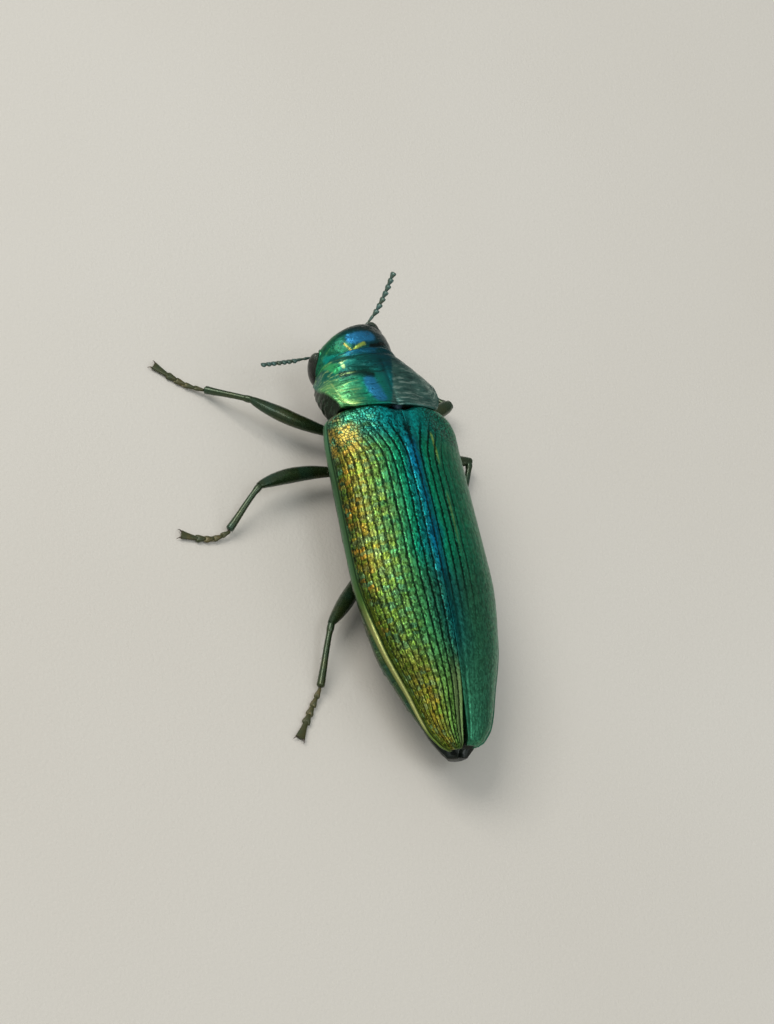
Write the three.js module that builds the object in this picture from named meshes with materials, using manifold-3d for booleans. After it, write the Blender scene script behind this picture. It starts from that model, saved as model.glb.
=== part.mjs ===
// Jewel beetle of the genus Eurythyrea, life size and standing still.
// Millimetres, +Z up, head towards -Y, the beetle's own left towards +X.
// Body shapes are written in the trunk's frame: y = 0 at the base of the wing cases, z = 0 at
// their side margins. The trunk is then tipped head-up by BODY_TILT and lifted off the floor.
import * as THREE from 'three';
import { mergeVertices } from 'three/addons/utils/BufferGeometryUtils.js';
import Module from 'manifold-3d';

// ---- driving dimensions -------------------------------------------------------------------
const BODY_TILT = 4; // degrees, head up
const RIDE_HEIGHT = 3.3; // floor to the side margins at the base of the wing cases
const CENTRE_X = 2.017; // middle of the whole stance, which the part's origin lies under
const CENTRE_Y = 4.463;

const ELYTRA_LENGTH = 16.2;
const ELYTRA_HALF_WIDTH = 3.44;
const ELYTRA_DOME = 2.16; // height of the suture above the side margins
const SHELL = 0.5; // wall of a wing case
const SHELL_GAP = 0.1; // between a wing case and the body under it
const BASE_LOBE = 0.33; // how far each wing case's base bulges forward
const SUTURE_GAP = 0.02;
// How far each wing case's tip stands off the middle, and how much it is drawn out.
const TIPS = { left: { spread: 0.2, reach: 0.3 }, right: { spread: 0.08, reach: 0.15 } };
const MARGIN_RISE = 0.47; // the side margins climb this much towards the tip
const ELYTRON_CELLS = [9, 22]; // faces across and along each wing case
const ELYTRON_CROWDING = 0.9; // below 1 the faces are shorter towards the tip
const DOME_ARCH = 0.9; // below 1 the back is squarer than an ellipse
const BELLY_ARCH = 0.9;
const BODY_SIDES = 28; // faces round the trunk and the prothorax

const TRUNK_DEPTH = 1.9; // margin to belly
const THORAX_END = 5.6;
const ABDOMEN_END = 16.6;
const TIP_DROOP = 0.45; // how far the abdomen's end hangs below the wing cases' line
const DROOP_START = 15;
const BELLY_FLANK = 1.05; // above 1 the belly narrows quickly below the side margins

const NECK_PIVOT = [0, -0.815, 1.15]; // middle of the prothorax's hind face
const PROTHORAX_TURN = [5.6, -1.2, 7.5]; // nod down, roll, turn left, in degrees
const PRONOTUM_LENGTH = 2.57; // at its side edges
const PRONOTUM_BASE = 2.62; // half-width
const PRONOTUM_FRONT = 2.0; // half-width
const PRONOTUM_BULGE = 0.2; // how far its side edges bow out between the two
const PRONOTUM_EDGE = [0.58, -1.15]; // height of the side edges, at the base and at the front
const PRONOTUM_TOP = [1.83, 1.77];
const PRONOTUM_BELLY = [-1.62, -1.9];
const PRONOTUM_ARCH = [0.7, 0.85]; // power of its arch, at the base and at the front
const PRONOTUM_FLANK = 0.8;
// Powers of the way from base to front: how late its width, side edges, top and arch change.
const PRONOTUM_EASE = { width: 3, edge: 1.8, top: 1.3, arch: 2 };
const COLLAR_GAP = 0.06; // between the pronotum and the wing cases

const HEAD_CENTRE = [1.14, -4.29, -0.23];
const HEAD_TURN = [18.7, 14.8, 21.2]; // nod down, roll, turn left, in degrees
// Half-width, reach to the front and back of its middle, crown and chin heights.
const HEAD = { half: 1.92, front: 0.86, back: 2.2, middle: 0.5, top: 1.54, chin: 1.7 };
// Place from the head's centre, half-axes, and how far its long axis leans, in degrees.
const EYE = { out: 1.58, back: 0.36, up: -0.26, radii: [0.5, 0.55, 1.1], lean: 8 };
const ANTENNA = { joints: 11, radius: 0.25, tooth: 0.2 };
// Root, elbow and tip of each antenna in the head's frame.
const ANTENNA_PATHS = {
  left: [[0.7, -0.42, -0.26], [1.86, -0.58, 0.04], [4.05, -0.81, 0.98]],
  right: [[-0.75, -0.42, -0.26], [-2.16, -0.6, 0.11], [-4.06, -1.48, 1.27]],
};

const KNEE_GAP = 0.07; // clearance between two joints of a leg
const COXA = 0.42; // half-width
const FEMUR = 0.38; // radius at the swollen middle
const TIBIA = 0.25;
const TARSUS = 0.25;
const ANKLE_HEIGHT = 0.32;
const FOOT_HEIGHT = 0.3; // half the foot's thickness before its sole is cut

// Where each leg bends, from the point on the floor under the trunk's zero. The sag is how far
// the middle of the thigh lies towards the tail, and the bow how far the middle of the foot does.
const STANCE = {
  front_left: {
    coxa: 0.42, hip: [1.35, -1.0, 1.14], knee: [5.51, -2.56, 1.5], ankle: [7.16, -3.82], toe: [9.26, -5.17],
    sag: 0.18, bow: 0.2,
  },
  middle_left: {
    coxa: 0.26, hip: [1.45, 1.0, 0.96], knee: [6.06, 2.07, 1.35], ankle: [7.6, 3.91], toe: [9.74, 3.97],
    sag: -0.3, bow: 0.35,
  },
  hind_left: {
    coxa: 0.2, hip: [1.15, 5.75, 0.7], knee: [4.09, 9.22, 1.2], ankle: [4.93, 12.06], toe: [6.38, 14.4],
    sag: 0.1, bow: 0,
  },
  front_right: {
    coxa: 0.42, hip: [-1.35, -1.0, 1.14], knee: [-5.28, -3.03, 0.95], ankle: [-3.3, -4.35],
    toe: [-1.5, -5.95], sag: 0.12, bow: 0,
  },
  middle_right: {
    coxa: 0.26, hip: [-1.45, 1.0, 0.96], knee: [-5.75, -0.02, 0.7], ankle: [-4.75, 2.4], toe: [-4.0, 4.5],
    sag: -0.2, bow: 0,
  },
  hind_right: {
    coxa: 0.2, hip: [-1.15, 5.75, 0.7], knee: [-3.5, 9.6, 1.2], ankle: [-3.3, 12.3], toe: [-2.5, 14.4],
    sag: 0.1, bow: 0,
  },
};

// ---- small mathematics --------------------------------------------------------------------
const { cos, sin, PI, abs, max, min, sqrt, sign } = Math;
const radians = THREE.MathUtils.degToRad;
const mix = THREE.MathUtils.lerp;
const smooth = (low, high, value) => THREE.MathUtils.smoothstep(value, low, high);
const arch = (angle, power) => max(0, cos(angle)) ** power; // 1 on top, 0 at the side
const flank = (angle, power) => max(0, sin(angle)) ** power; // 0 below, 1 at the side
const onTop = (angle) => abs(angle) < PI / 2 + 0.001;

// A smooth monotone curve through [position, value] knots.
function curveThrough(knots) {
  const xs = knots.map((k) => k[0]);
  const ys = knots.map((k) => k[1]);
  const slopes = xs.slice(1).map((x, i) => (ys[i + 1] - ys[i]) / (x - xs[i]));
  const tangent = xs.map((_, i) => {
    if (i === 0) return slopes[0];
    if (i === xs.length - 1) return slopes[i - 1];
    if (slopes[i - 1] * slopes[i] <= 0) return 0;
    return (2 * slopes[i - 1] * slopes[i]) / (slopes[i - 1] + slopes[i]);
  });
  return (x) => {
    const i = max(0, min(xs.length - 2, xs.findIndex((k) => k > x) - 1));
    const last = x >= xs[xs.length - 1] ? xs.length - 2 : i;
    const span = xs[last + 1] - xs[last];
    const t = min(1, max(0, (x - xs[last]) / span));
    const a = ys[last];
    const b = ys[last + 1];
    return a + (b - a) * t * t * (3 - 2 * t)
      + span * t * (1 - t) * (tangent[last] * (1 - t) - tangent[last + 1] * t);
  };
}

// ---- geometry helpers ---------------------------------------------------------------------
// Merges the seams of a closed geometry, drops collapsed faces and turns every face outwards.
function closed(geometry) {
  geometry.deleteAttribute('normal');
  geometry.deleteAttribute('uv');
  const merged = mergeVertices(geometry, 1e-3);
  const at = merged.attributes.position;
  const corner = (i) => new THREE.Vector3().fromBufferAttribute(at, i);
  const faces = [];
  let volume = 0;
  for (let i = 0; i < merged.index.count; i += 3) {
    const face = [0, 1, 2].map((k) => merged.index.getX(i + k));
    if (new Set(face).size < 3) continue;
    faces.push(face);
    const [a, b, c] = face.map(corner);
    volume += a.dot(b.cross(c));
  }
  merged.setIndex(faces.flatMap((face) => (volume < 0 ? face.slice().reverse() : face)));
  merged.computeVertexNormals();
  return merged;
}

// Moves every vertex of a geometry by a function of its old place.
function remap(geometry, place) {
  const at = geometry.attributes.position;
  for (let i = 0; i < at.count; i += 1) {
    const point = place(at.getX(i), at.getY(i), at.getZ(i));
    at.setXYZ(i, point.x, point.y, point.z);
  }
  return geometry;
}

// A closed tube whose rings are given by ring(along, angle); along runs from 0 to 1 and the
// angle is 0 on top, growing towards the beetle's left.
function ringed(sides, rows, ring) {
  const form = new THREE.CylinderGeometry(1, 1, 1, sides, rows);
  const centres = new Map();
  const centre = (along) => {
    if (!centres.has(along)) {
      const sum = new THREE.Vector3();
      for (let k = 0; k < sides; k += 1) sum.add(ring(along, (2 * PI * k) / sides));
      centres.set(along, sum.divideScalar(sides));
    }
    return centres.get(along);
  };
  return closed(remap(form, (x, y, z) => {
    const along = Math.round((y + 0.5) * rows) / rows;
    if (x * x + z * z < 0.25) return centre(along).clone();
    return ring(along, Math.atan2(x, z));
  }));
}

// A closed limb round a curve: radius(along) gives [half-width, half-height] of each ring.
function limb(path, sides, rows, radius) {
  const up = new THREE.Vector3(0, 0, 1);
  return ringed(sides, rows, (along, angle) => {
    const point = path.getPointAt(along);
    const ahead = path.getTangentAt(along);
    const side = new THREE.Vector3().crossVectors(ahead, up).normalize();
    const over = new THREE.Vector3().crossVectors(side, ahead);
    const [wide, tall] = radius(along);
    return point.addScaledVector(side, wide * sin(angle)).addScaledVector(over, tall * cos(angle));
  });
}

// ---- manifold-3d: cutting one closed geometry from another --------------------------------
const wasm = await Module();
wasm.setup();

function toSolid(geometry) {
  return new wasm.Manifold(new wasm.Mesh({
    numProp: 3,
    vertProperties: new Float32Array(geometry.attributes.position.array),
    triVerts: new Uint32Array(geometry.index.array),
  }));
}

function cut(geometry, ...tools) {
  const solid = tools.reduce((left, tool) => left.subtract(toSolid(tool)), toSolid(geometry));
  const mesh = solid.getMesh();
  const result = new THREE.BufferGeometry();
  result.setAttribute('position', new THREE.BufferAttribute(new Float32Array(mesh.vertProperties), 3));
  result.setIndex(Array.from(mesh.triVerts));
  result.computeVertexNormals();
  return result;
}

// ---- materials ----------------------------------------------------------------------------
function coat(color, roughness = 0.3, metalness = 0.8) {
  return new THREE.MeshStandardMaterial({ color, roughness, metalness });
}
const GREEN = coat('#2f8f4a');
const TEAL = coat('#1a7f78');
const OLIVE = coat('#3d5230', 0.35, 0.7);
const DARK = coat('#24301f', 0.4, 0.5);
const EYE_BROWN = coat('#2b2620', 0.25, 0.1);

function piece(name, geometry, material) {
  const mesh = new THREE.Mesh(geometry, material);
  mesh.name = name;
  return mesh;
}

// ---- trunk --------------------------------------------------------------------------------
const elytronWidth = curveThrough([
  [0, 0.83], [0.03, 0.93], [0.1, 0.97], [0.3, 0.985], [0.5, 1], [0.7, 0.863], [0.85, 0.64],
  [0.95, 0.46], [1, 0.26],
]);
const elytronDome = curveThrough([
  [0, 0.86], [0.15, 1], [0.35, 1.04], [0.6, 0.95], [0.8, 0.72], [0.95, 0.38], [1, 0.24],
]);
const marginHeight = curveThrough([[0, 0], [0.3, 0], [1, MARGIN_RISE]]);
const bellyDepth = curveThrough([
  [-0.1, 0.86], [0.1, 1], [0.3, 1], [0.5, 0.93], [0.7, 0.78], [0.85, 0.6], [0.95, 0.42], [1.03, 0.2],
]);
const bellyWidth = curveThrough([
  [-0.1, 0.78], [0.03, 0.84], [0.1, 0.9], [0.3, 0.92], [0.5, 0.94], [0.7, 0.88], [0.85, 0.66],
  [0.95, 0.45], [1.03, 0.12],
]);

// A point of the wing cases' outer surface, or of a surface `inset` below it.
function elytronPoint(t, angle, side, inset, spread = 0, reach = 0) {
  const half = ELYTRA_HALF_WIDTH * elytronWidth(t) - inset;
  const rise = ELYTRA_DOME * elytronDome(t) - inset;
  const out = sin(angle);
  const lobe = BASE_LOBE * smooth(0.05, 0.45, out);
  const y = ELYTRA_LENGTH * t - lobe * (1 - smooth(0, 0.12, t)) + reach * smooth(0.85, 1, t);
  return new THREE.Vector3(
    side * (spread + (half - spread) * out),
    y,
    marginHeight(t) + rise * arch(angle, DOME_ARCH),
  );
}

function elytron(side, tip) {
  const form = new THREE.BoxGeometry(1, 1, 1, ...ELYTRON_CELLS, 1);
  return closed(remap(form, (x, y, z) => {
    const along = (y + 0.5) ** ELYTRON_CROWDING;
    const spread = SUTURE_GAP + tip.spread * smooth(0.8, 1, along) ** 1.5;
    return elytronPoint(along, (x + 0.5) * (PI / 2), side, z > 0 ? 0 : SHELL, spread, tip.reach);
  }));
}

// One ring of the body under the wing cases: the roof follows them, the belly is a bowl.
function trunkRing(y, angle) {
  const t = y / ELYTRA_LENGTH;
  const edge = marginHeight(min(t, 1)) - SHELL_GAP - TIP_DROOP * smooth(DROOP_START, ABDOMEN_END, y);
  if (onTop(angle)) {
    const roof = elytronPoint(max(0, min(t, 1)), abs(angle), sign(angle), SHELL + SHELL_GAP);
    const shrink = 1 - smooth(0.97, 1.035, t);
    const height = roof.z - TIP_DROOP * smooth(DROOP_START, ABDOMEN_END, y);
    return new THREE.Vector3(roof.x * shrink, y, mix(edge, max(edge, height), shrink));
  }
  const belly = PI - abs(angle);
  return new THREE.Vector3(
    sign(angle) * ELYTRA_HALF_WIDTH * bellyWidth(t) * flank(belly, BELLY_FLANK),
    y,
    edge - TRUNK_DEPTH * bellyDepth(t) * arch(belly, BELLY_ARCH),
  );
}

function trunkPiece(from, to, rows) {
  return ringed(BODY_SIDES, rows, (along, angle) => trunkRing(mix(from, to, along), angle));
}

// The thorax's first ring lies along the slanted hind face of the prothorax, and the second
// stands just inside the wing cases' base.
function thorax() {
  const rows = 9;
  return ringed(BODY_SIDES, rows, (along, angle) => {
    const rest = max(0, (along * rows - 1) / (rows - 1));
    const place = trunkRing(mix(0.1, THORAX_END, rest), angle);
    if (along > 0) return place;
    const onFace = new THREE.Vector3(place.x, 0.12, place.z).applyMatrix4(prothoraxFrame);
    return followWingCases(new THREE.Vector3(place.x, onFace.y, place.z), angle, 0)
      .add(new THREE.Vector3(0, onTop(angle) ? 0.1 : 0, 0));
  });
}

// ---- prothorax ----------------------------------------------------------------------------
// A frame that is nodded, rolled and turned about a pivot.
function frameAt(pivot, [nod, roll, turn]) {
  return new THREE.Matrix4().makeTranslation(...pivot)
    .multiply(new THREE.Matrix4().makeRotationZ(radians(turn)))
    .multiply(new THREE.Matrix4().makeRotationX(radians(nod)))
    .multiply(new THREE.Matrix4().makeRotationY(radians(roll)));
}
const prothoraxFrame = frameAt(NECK_PIVOT, PROTHORAX_TURN);
prothoraxFrame.multiply(new THREE.Matrix4().makeTranslation(0, 0, -NECK_PIVOT[2]));
const headFrame = frameAt(HEAD_CENTRE, HEAD_TURN);

// The hind margin of the pronotum follows the wing cases over the back, and keeps to the
// prothorax's own hind face at its two corners.
function followWingCases(place, angle, along) {
  const hug = (1 - smooth(0.9, 1.45, abs(angle))) * (1 - along) ** 2;
  return new THREE.Vector3(place.x, mix(place.y, -BASE_LOBE - COLLAR_GAP, hug), place.z);
}

// The pronotum's ring: an arched shield above, a shallower bowl below.
function pronotumRing(along, angle) {
  const half = mix(PRONOTUM_BASE, PRONOTUM_FRONT, along ** PRONOTUM_EASE.width)
    + PRONOTUM_BULGE * sin(PI * along);
  const edge = mix(...PRONOTUM_EDGE, along ** PRONOTUM_EASE.edge);
  if (onTop(angle)) {
    const top = mix(...PRONOTUM_TOP, along ** PRONOTUM_EASE.top);
    const power = mix(...PRONOTUM_ARCH, along ** PRONOTUM_EASE.arch);
    const place = new THREE.Vector3(
      half * sin(angle),
      -PRONOTUM_LENGTH * along,
      edge + (top - edge) * arch(angle, power),
    ).applyMatrix4(prothoraxFrame);
    return followWingCases(place, angle, along);
  }
  const belly = PI - abs(angle);
  const bottom = mix(...PRONOTUM_BELLY, along);
  return new THREE.Vector3(
    sign(angle) * half * flank(belly, PRONOTUM_FLANK),
    -PRONOTUM_LENGTH * along,
    edge + (bottom - edge) * arch(belly, BELLY_ARCH),
  ).applyMatrix4(prothoraxFrame);
}

// The small shield between the bases of the wing cases.
function scutellum() {
  const form = new THREE.BoxGeometry(1, 1, 1, 6, 2, 1);
  return closed(remap(form, (x, y, z) => {
    const half = mix(0.45, 0.3, y + 0.5);
    const top = ELYTRA_DOME * elytronDome(0) - 0.08 * (2 * x) ** 2;
    return new THREE.Vector3(2 * x * half, mix(-BASE_LOBE - 0.02, -0.1, y + 0.5), z > 0 ? top : top - SHELL);
  }));
}

// ---- head ---------------------------------------------------------------------------------
function headCapsule() {
  return closed(remap(new THREE.SphereGeometry(1, 22, 14), (x, y, z) => {
    const narrowing = 1 - 0.3 * smooth(0, 1, -y) - 0.05 * smooth(0, 1, y);
    return new THREE.Vector3(
      HEAD.half * x * narrowing,
      HEAD.middle + (z > 0 ? HEAD.back * z : -HEAD.front * abs(z) ** 0.7),
      y > 0 ? HEAD.top * y : HEAD.chin * y,
    );
  })).applyMatrix4(headFrame);
}

function eye(side, grow = 0) {
  const [wide, deep, tall] = EYE.radii.map((radius) => radius + grow);
  const form = new THREE.SphereGeometry(1, 14, 9);
  form.scale(wide, tall, deep);
  form.rotateX(PI / 2 + radians(EYE.lean));
  form.translate(side * EYE.out, EYE.back, EYE.up);
  return closed(form).applyMatrix4(headFrame);
}

function antenna(knots, grow = 0) {
  const path = new THREE.CatmullRomCurve3(knots.map((knot) => new THREE.Vector3(...knot)));
  return limb(path, 6, ANTENNA.joints * 2, (along) => {
    const joint = abs(sin(along * ANTENNA.joints * PI));
    const tooth = ANTENNA.tooth * ANTENNA.radius * joint * smooth(0.2, 0.4, along);
    return [ANTENNA.radius + tooth + grow, ANTENNA.radius + grow];
  }).applyMatrix4(headFrame);
}

function mandible(side) {
  const path = new THREE.QuadraticBezierCurve3(
    new THREE.Vector3(side * 0.55, 0.1, -HEAD.chin + 0.1),
    new THREE.Vector3(side * 0.6, -0.05, -HEAD.chin - 0.3),
    new THREE.Vector3(side * 0.17, -0.1, -HEAD.chin - 0.5),
  );
  return limb(path, 6, 5, (along) => [mix(0.3, 0.13, along), mix(0.26, 0.12, along)])
    .applyMatrix4(headFrame);
}

// ---- legs ---------------------------------------------------------------------------------
function coxa(hip, height) {
  const form = new THREE.SphereGeometry(1, 10, 6);
  form.scale(COXA, COXA, height);
  form.translate(hip.x - sign(hip.x) * (COXA + KNEE_GAP), hip.y, hip.z);
  return closed(form);
}

function femur(hip, knee, sag) {
  const middle = hip.clone().lerp(knee, 0.5).add(new THREE.Vector3(0, sag, 0));
  const path = new THREE.CatmullRomCurve3([hip, middle, knee]);
  const swell = curveThrough([[0, 0.6], [0.15, 0.65], [0.35, 0.85], [0.62, 1], [0.85, 0.8], [1, 0.5]]);
  return limb(path, 8, 9, (along) => [FEMUR * swell(along), FEMUR * swell(along) * 0.9]);
}

function tibia(knee, ankle) {
  const ahead = ankle.clone().sub(knee).normalize();
  const start = knee.clone().addScaledVector(ahead, FEMUR * 0.6 + KNEE_GAP);
  const end = ankle.clone().addScaledVector(ahead, -KNEE_GAP);
  return limb(new THREE.LineCurve3(start, end), 6, 5, (along) => {
    const radius = TIBIA * mix(0.95, 1.02, along);
    return [radius, radius];
  });
}

// The foot's path leaves the shin and lies down on the floor, bowed towards the tail.
function footPath(ankle, toe, bow) {
  const spot = (share, height) => {
    const place = ankle.clone().lerp(toe, share);
    place.y += bow * sin(PI * share);
    place.z = height;
    return place;
  };
  return new THREE.CatmullRomCurve3([
    spot(0.1, 0.25), spot(0.3, 0.2), spot(0.55, 0.15), spot(0.8, 0.15), spot(1, 0.17),
  ]);
}

// A foot's sole is cut flat at the floor.
function tarsus(ankle, toe, bow) {
  const widths = curveThrough([
    [0, 0.95], [0.35, 1], [0.45, 1.2], [0.6, 1.25], [0.75, 1.35], [0.8, 1], [0.9, 1], [1, 1.25],
  ]);
  const geometry = limb(footPath(ankle, toe, bow), 8, 14, (along) => [TARSUS * widths(along), FOOT_HEIGHT]);
  return closed(remap(geometry, (x, y, z) => new THREE.Vector3(x, y, max(z, 0))));
}

function leg(name, pose) {
  const hip = new THREE.Vector3(...pose.hip);
  const knee = new THREE.Vector3(...pose.knee);
  const ankle = new THREE.Vector3(...pose.ankle, ANKLE_HEIGHT);
  const toe = new THREE.Vector3(...pose.toe, 0);
  return [
    piece(`coxa_${name}`, coxa(hip, pose.coxa), DARK),
    piece(`femur_${name}`, femur(hip, knee, pose.sag), OLIVE),
    piece(`tibia_${name}`, tibia(knee, ankle), OLIVE),
    piece(`tarsus_${name}`, tarsus(ankle, toe, pose.bow), DARK),
  ];
}

// ---- assembly -----------------------------------------------------------------------------
const trunk = new THREE.Group();
trunk.position.set(0, 0, RIDE_HEIGHT * cos(radians(BODY_TILT)));
trunk.rotation.x = radians(-BODY_TILT);

trunk.add(piece('elytron_left', elytron(1, TIPS.left), GREEN));
trunk.add(piece('elytron_right', elytron(-1, TIPS.right), GREEN));
trunk.add(piece('thorax', thorax(), TEAL));
trunk.add(piece('abdomen', trunkPiece(THORAX_END + 0.03, ABDOMEN_END, 18), OLIVE));
trunk.add(piece('pronotum', ringed(BODY_SIDES, 9, pronotumRing), GREEN));
trunk.add(piece('scutellum', scutellum(), TEAL));

const SOCKET_GAP = 0.03; // between the head and what is set into it
const behindHead = new THREE.BoxGeometry(9, 9, 9);
behindHead.translate(0, 4.5 - PRONOTUM_LENGTH - SOCKET_GAP, 0);
behindHead.applyMatrix4(prothoraxFrame);
const sockets = [
  eye(1, SOCKET_GAP), eye(-1, SOCKET_GAP),
  antenna(ANTENNA_PATHS.left, SOCKET_GAP), antenna(ANTENNA_PATHS.right, SOCKET_GAP),
];
const neckSide = closed(behindHead);
trunk.add(piece('head', cut(headCapsule(), neckSide, ...sockets), TEAL));
trunk.add(piece('eye_left', cut(eye(1), neckSide), EYE_BROWN));
trunk.add(piece('eye_right', cut(eye(-1), neckSide), EYE_BROWN));
trunk.add(piece('antenna_left', antenna(ANTENNA_PATHS.left), DARK));
trunk.add(piece('antenna_right', antenna(ANTENNA_PATHS.right), DARK));
trunk.add(piece('mandible_left', mandible(1), DARK));
trunk.add(piece('mandible_right', mandible(-1), DARK));

const beetle = new THREE.Group();
beetle.position.set(-CENTRE_X, -CENTRE_Y, 0);
beetle.add(trunk);
for (const [name, pose] of Object.entries(STANCE)) {
  beetle.add(...leg(name, pose));
}

const model = new THREE.Group();
model.add(beetle);
export default model;
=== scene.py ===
"""A life-size jewel beetle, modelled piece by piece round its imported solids.

Sizes are in millimetres inside the classes and become metres as each mesh is made. The beetle
faces -Y, its own left is +X and the floor is z = 0. Body shapes are written in the trunk's own
frame, whose zero is at the base of the wing cases, and `Carriage` tips and lifts them.
"""
import logging
import math
from dataclasses import dataclass, field
from enum import Enum
from typing import Callable, Sequence

import bpy
import numpy as np
from mathutils import Matrix, Vector


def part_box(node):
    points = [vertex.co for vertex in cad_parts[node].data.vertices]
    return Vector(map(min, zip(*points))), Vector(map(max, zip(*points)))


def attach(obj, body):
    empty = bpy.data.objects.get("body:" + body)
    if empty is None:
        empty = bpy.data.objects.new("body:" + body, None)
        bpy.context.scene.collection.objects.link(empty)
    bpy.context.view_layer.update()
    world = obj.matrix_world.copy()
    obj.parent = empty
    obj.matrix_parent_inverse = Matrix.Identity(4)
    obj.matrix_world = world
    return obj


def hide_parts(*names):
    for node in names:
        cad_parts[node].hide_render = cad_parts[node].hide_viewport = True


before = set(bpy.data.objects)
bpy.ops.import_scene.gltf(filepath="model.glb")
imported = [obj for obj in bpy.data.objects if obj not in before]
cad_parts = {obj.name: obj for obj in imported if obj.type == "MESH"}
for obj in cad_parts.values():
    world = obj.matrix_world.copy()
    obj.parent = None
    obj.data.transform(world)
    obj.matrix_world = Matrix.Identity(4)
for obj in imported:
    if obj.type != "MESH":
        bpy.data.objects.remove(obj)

LOG = logging.getLogger("jewel_beetle")
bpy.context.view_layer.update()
MM = 0.001
BODY = "root"

Array = np.ndarray
Curve = Callable[[Array], Array]
Socket = bpy.types.NodeSocket
Node = bpy.types.Node
Tree = bpy.types.NodeTree
Piece = bpy.types.Object
Group = tuple[Tree, "Wiring", dict[str, Socket], Node]
Rgba = tuple[float, float, float, float]


class Side(Enum):
    """The beetle's own left and right, as the sign of x."""

    LEFT = 1
    RIGHT = -1

    @property
    def word(self) -> str:
        """The side's name in lower case."""
        return self.name.lower()


# ---- numbers --------------------------------------------------------------------------------
def smooth(low: float, high: float, value: Array) -> Array:
    """A soft step from 0 at `low` to 1 at `high`."""
    share = np.clip((np.asarray(value, float) - low) / (high - low), 0.0, 1.0)
    return share * share * (3.0 - 2.0 * share)


def mix(first: Array, second: Array, share: Array) -> Array:
    """The value a `share` of the way from `first` to `second`."""
    return first + (second - first) * share


def bump(centre: float, width: float, value: Array) -> Array:
    """A bell of height 1 round `centre`."""
    return np.exp(-(((value - centre) / width) ** 2))


def power(value: Array, exponent: float) -> Array:
    """A power of the positive part of a value."""
    return np.maximum(value, 0.0) ** exponent


def curve_through(knots: Sequence[tuple[float, float]]) -> Curve:
    """A smooth curve without overshoot through (position, value) knots.

    Args:
        knots: the knots in rising order of position.

    Returns:
        A function of an array of positions.
    """
    xs, ys = np.array(knots, float).T
    slopes = np.diff(ys) / np.diff(xs)
    tangents = np.concatenate([slopes[:1], np.zeros(len(xs) - 2), slopes[-1:]])
    for i in range(1, len(xs) - 1):
        if slopes[i - 1] * slopes[i] > 0:
            tangents[i] = 2 * slopes[i - 1] * slopes[i] / (slopes[i - 1] + slopes[i])

    def value(x: Array) -> Array:
        """The curve's height at x."""
        at = np.clip(np.searchsorted(xs, x, side="right") - 1, 0, len(xs) - 2)
        span = xs[at + 1] - xs[at]
        t = np.clip((x - xs[at]) / span, 0.0, 1.0)
        rise = (ys[at + 1] - ys[at]) * t * t * (3 - 2 * t)
        lean = span * t * (1 - t) * (tangents[at] * (1 - t) - tangents[at + 1] * t)
        return ys[at] + rise + lean

    return value


def tint(code: str) -> Rgba:
    """The linear colour of a #rrggbb code."""
    parts = [int(code[i:i + 2], 16) / 255 for i in (1, 3, 5)]
    linear = [p / 12.92 if p <= 0.04045 else ((p + 0.055) / 1.055) ** 2.4 for p in parts]
    return (linear[0], linear[1], linear[2], 1.0)


# ---- placing --------------------------------------------------------------------------------
def turned(pivot: Sequence[float], nod: float, roll: float, turn: float) -> Array:
    """A 4 x 4 frame nodded, rolled and turned by degrees about a pivot in millimetres."""
    angles = [math.radians(a) for a in (nod, roll, turn)]
    spin = Matrix.Rotation(angles[2], 4, "Z") @ Matrix.Rotation(angles[0], 4, "X")
    spin = spin @ Matrix.Rotation(angles[1], 4, "Y")
    return np.array(Matrix.Translation(pivot) @ spin)


def through(matrix: Array, points: Array) -> Array:
    """Points (..., 3) taken through a 4 x 4 matrix."""
    return points @ matrix[:3, :3].T + matrix[:3, 3]


@dataclass(frozen=True)
class Carriage:
    """How the trunk is carried over the floor."""

    tilt: float = 4.0
    ride: float = 3.3
    middle: tuple[float, float] = (2.017, 4.463)

    def matrix(self) -> Array:
        """The 4 x 4 frame from the trunk to the floor, in millimetres."""
        lift = self.ride * math.cos(math.radians(self.tilt))
        return turned((-self.middle[0], -self.middle[1], lift), -self.tilt, 0.0, 0.0)


CARRIAGE = Carriage()
TRUNK = CARRIAGE.matrix()


# ---- meshes ---------------------------------------------------------------------------------
def new_piece(name: str, points: Array, faces: Sequence[Sequence[int]]) -> Piece:
    """A smooth-shaded object from vertices in millimetres, its faces turned outwards.

    Args:
        name: the piece's name.
        points: (n, 3) vertices on the floor frame.
        faces: vertex numbers of each face.

    Returns:
        The new object, linked to the scene and standing at the origin.
    """
    corners = np.array([(f[0], f[k], f[k + 1]) for f in faces for k in range(1, len(f) - 1)])
    a, b, c = (points[corners[:, k]] for k in range(3))
    if np.einsum("ij,ij->i", a, np.cross(b, c)).sum() < 0:
        faces = [tuple(reversed(f)) for f in faces]
    mesh = bpy.data.meshes.new(name)
    mesh.from_pydata((points * MM).tolist(), [], [tuple(int(i) for i in f) for f in faces])
    mesh.shade_smooth()
    piece = bpy.data.objects.new(name, mesh)
    bpy.context.scene.collection.objects.link(piece)
    return piece


def store(piece: Piece, name: str, values: Array) -> None:
    """Keeps a number or a vector for every vertex under a name."""
    values = np.asarray(values, np.float32)
    vector = values.ndim == 2
    kind = "FLOAT_VECTOR" if vector else "FLOAT"
    attribute = piece.data.attributes.new(name, kind, "POINT")
    attribute.data.foreach_set("vector" if vector else "value", values.ravel())


def crescent_cap(near: Sequence[int], far: Sequence[int]) -> list[tuple[int, int, int]]:
    """Triangles between two rows of vertices that run side by side."""
    faces = []
    i = j = 0
    while i < len(near) - 1 or j < len(far) - 1:
        if (i + 1) * (len(far) - 1) <= (j + 1) * (len(near) - 1):
            faces.append((near[i], near[i + 1], far[j]))
            i += 1
        else:
            faces.append((near[i], far[j + 1], far[j]))
            j += 1
    return faces


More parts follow.
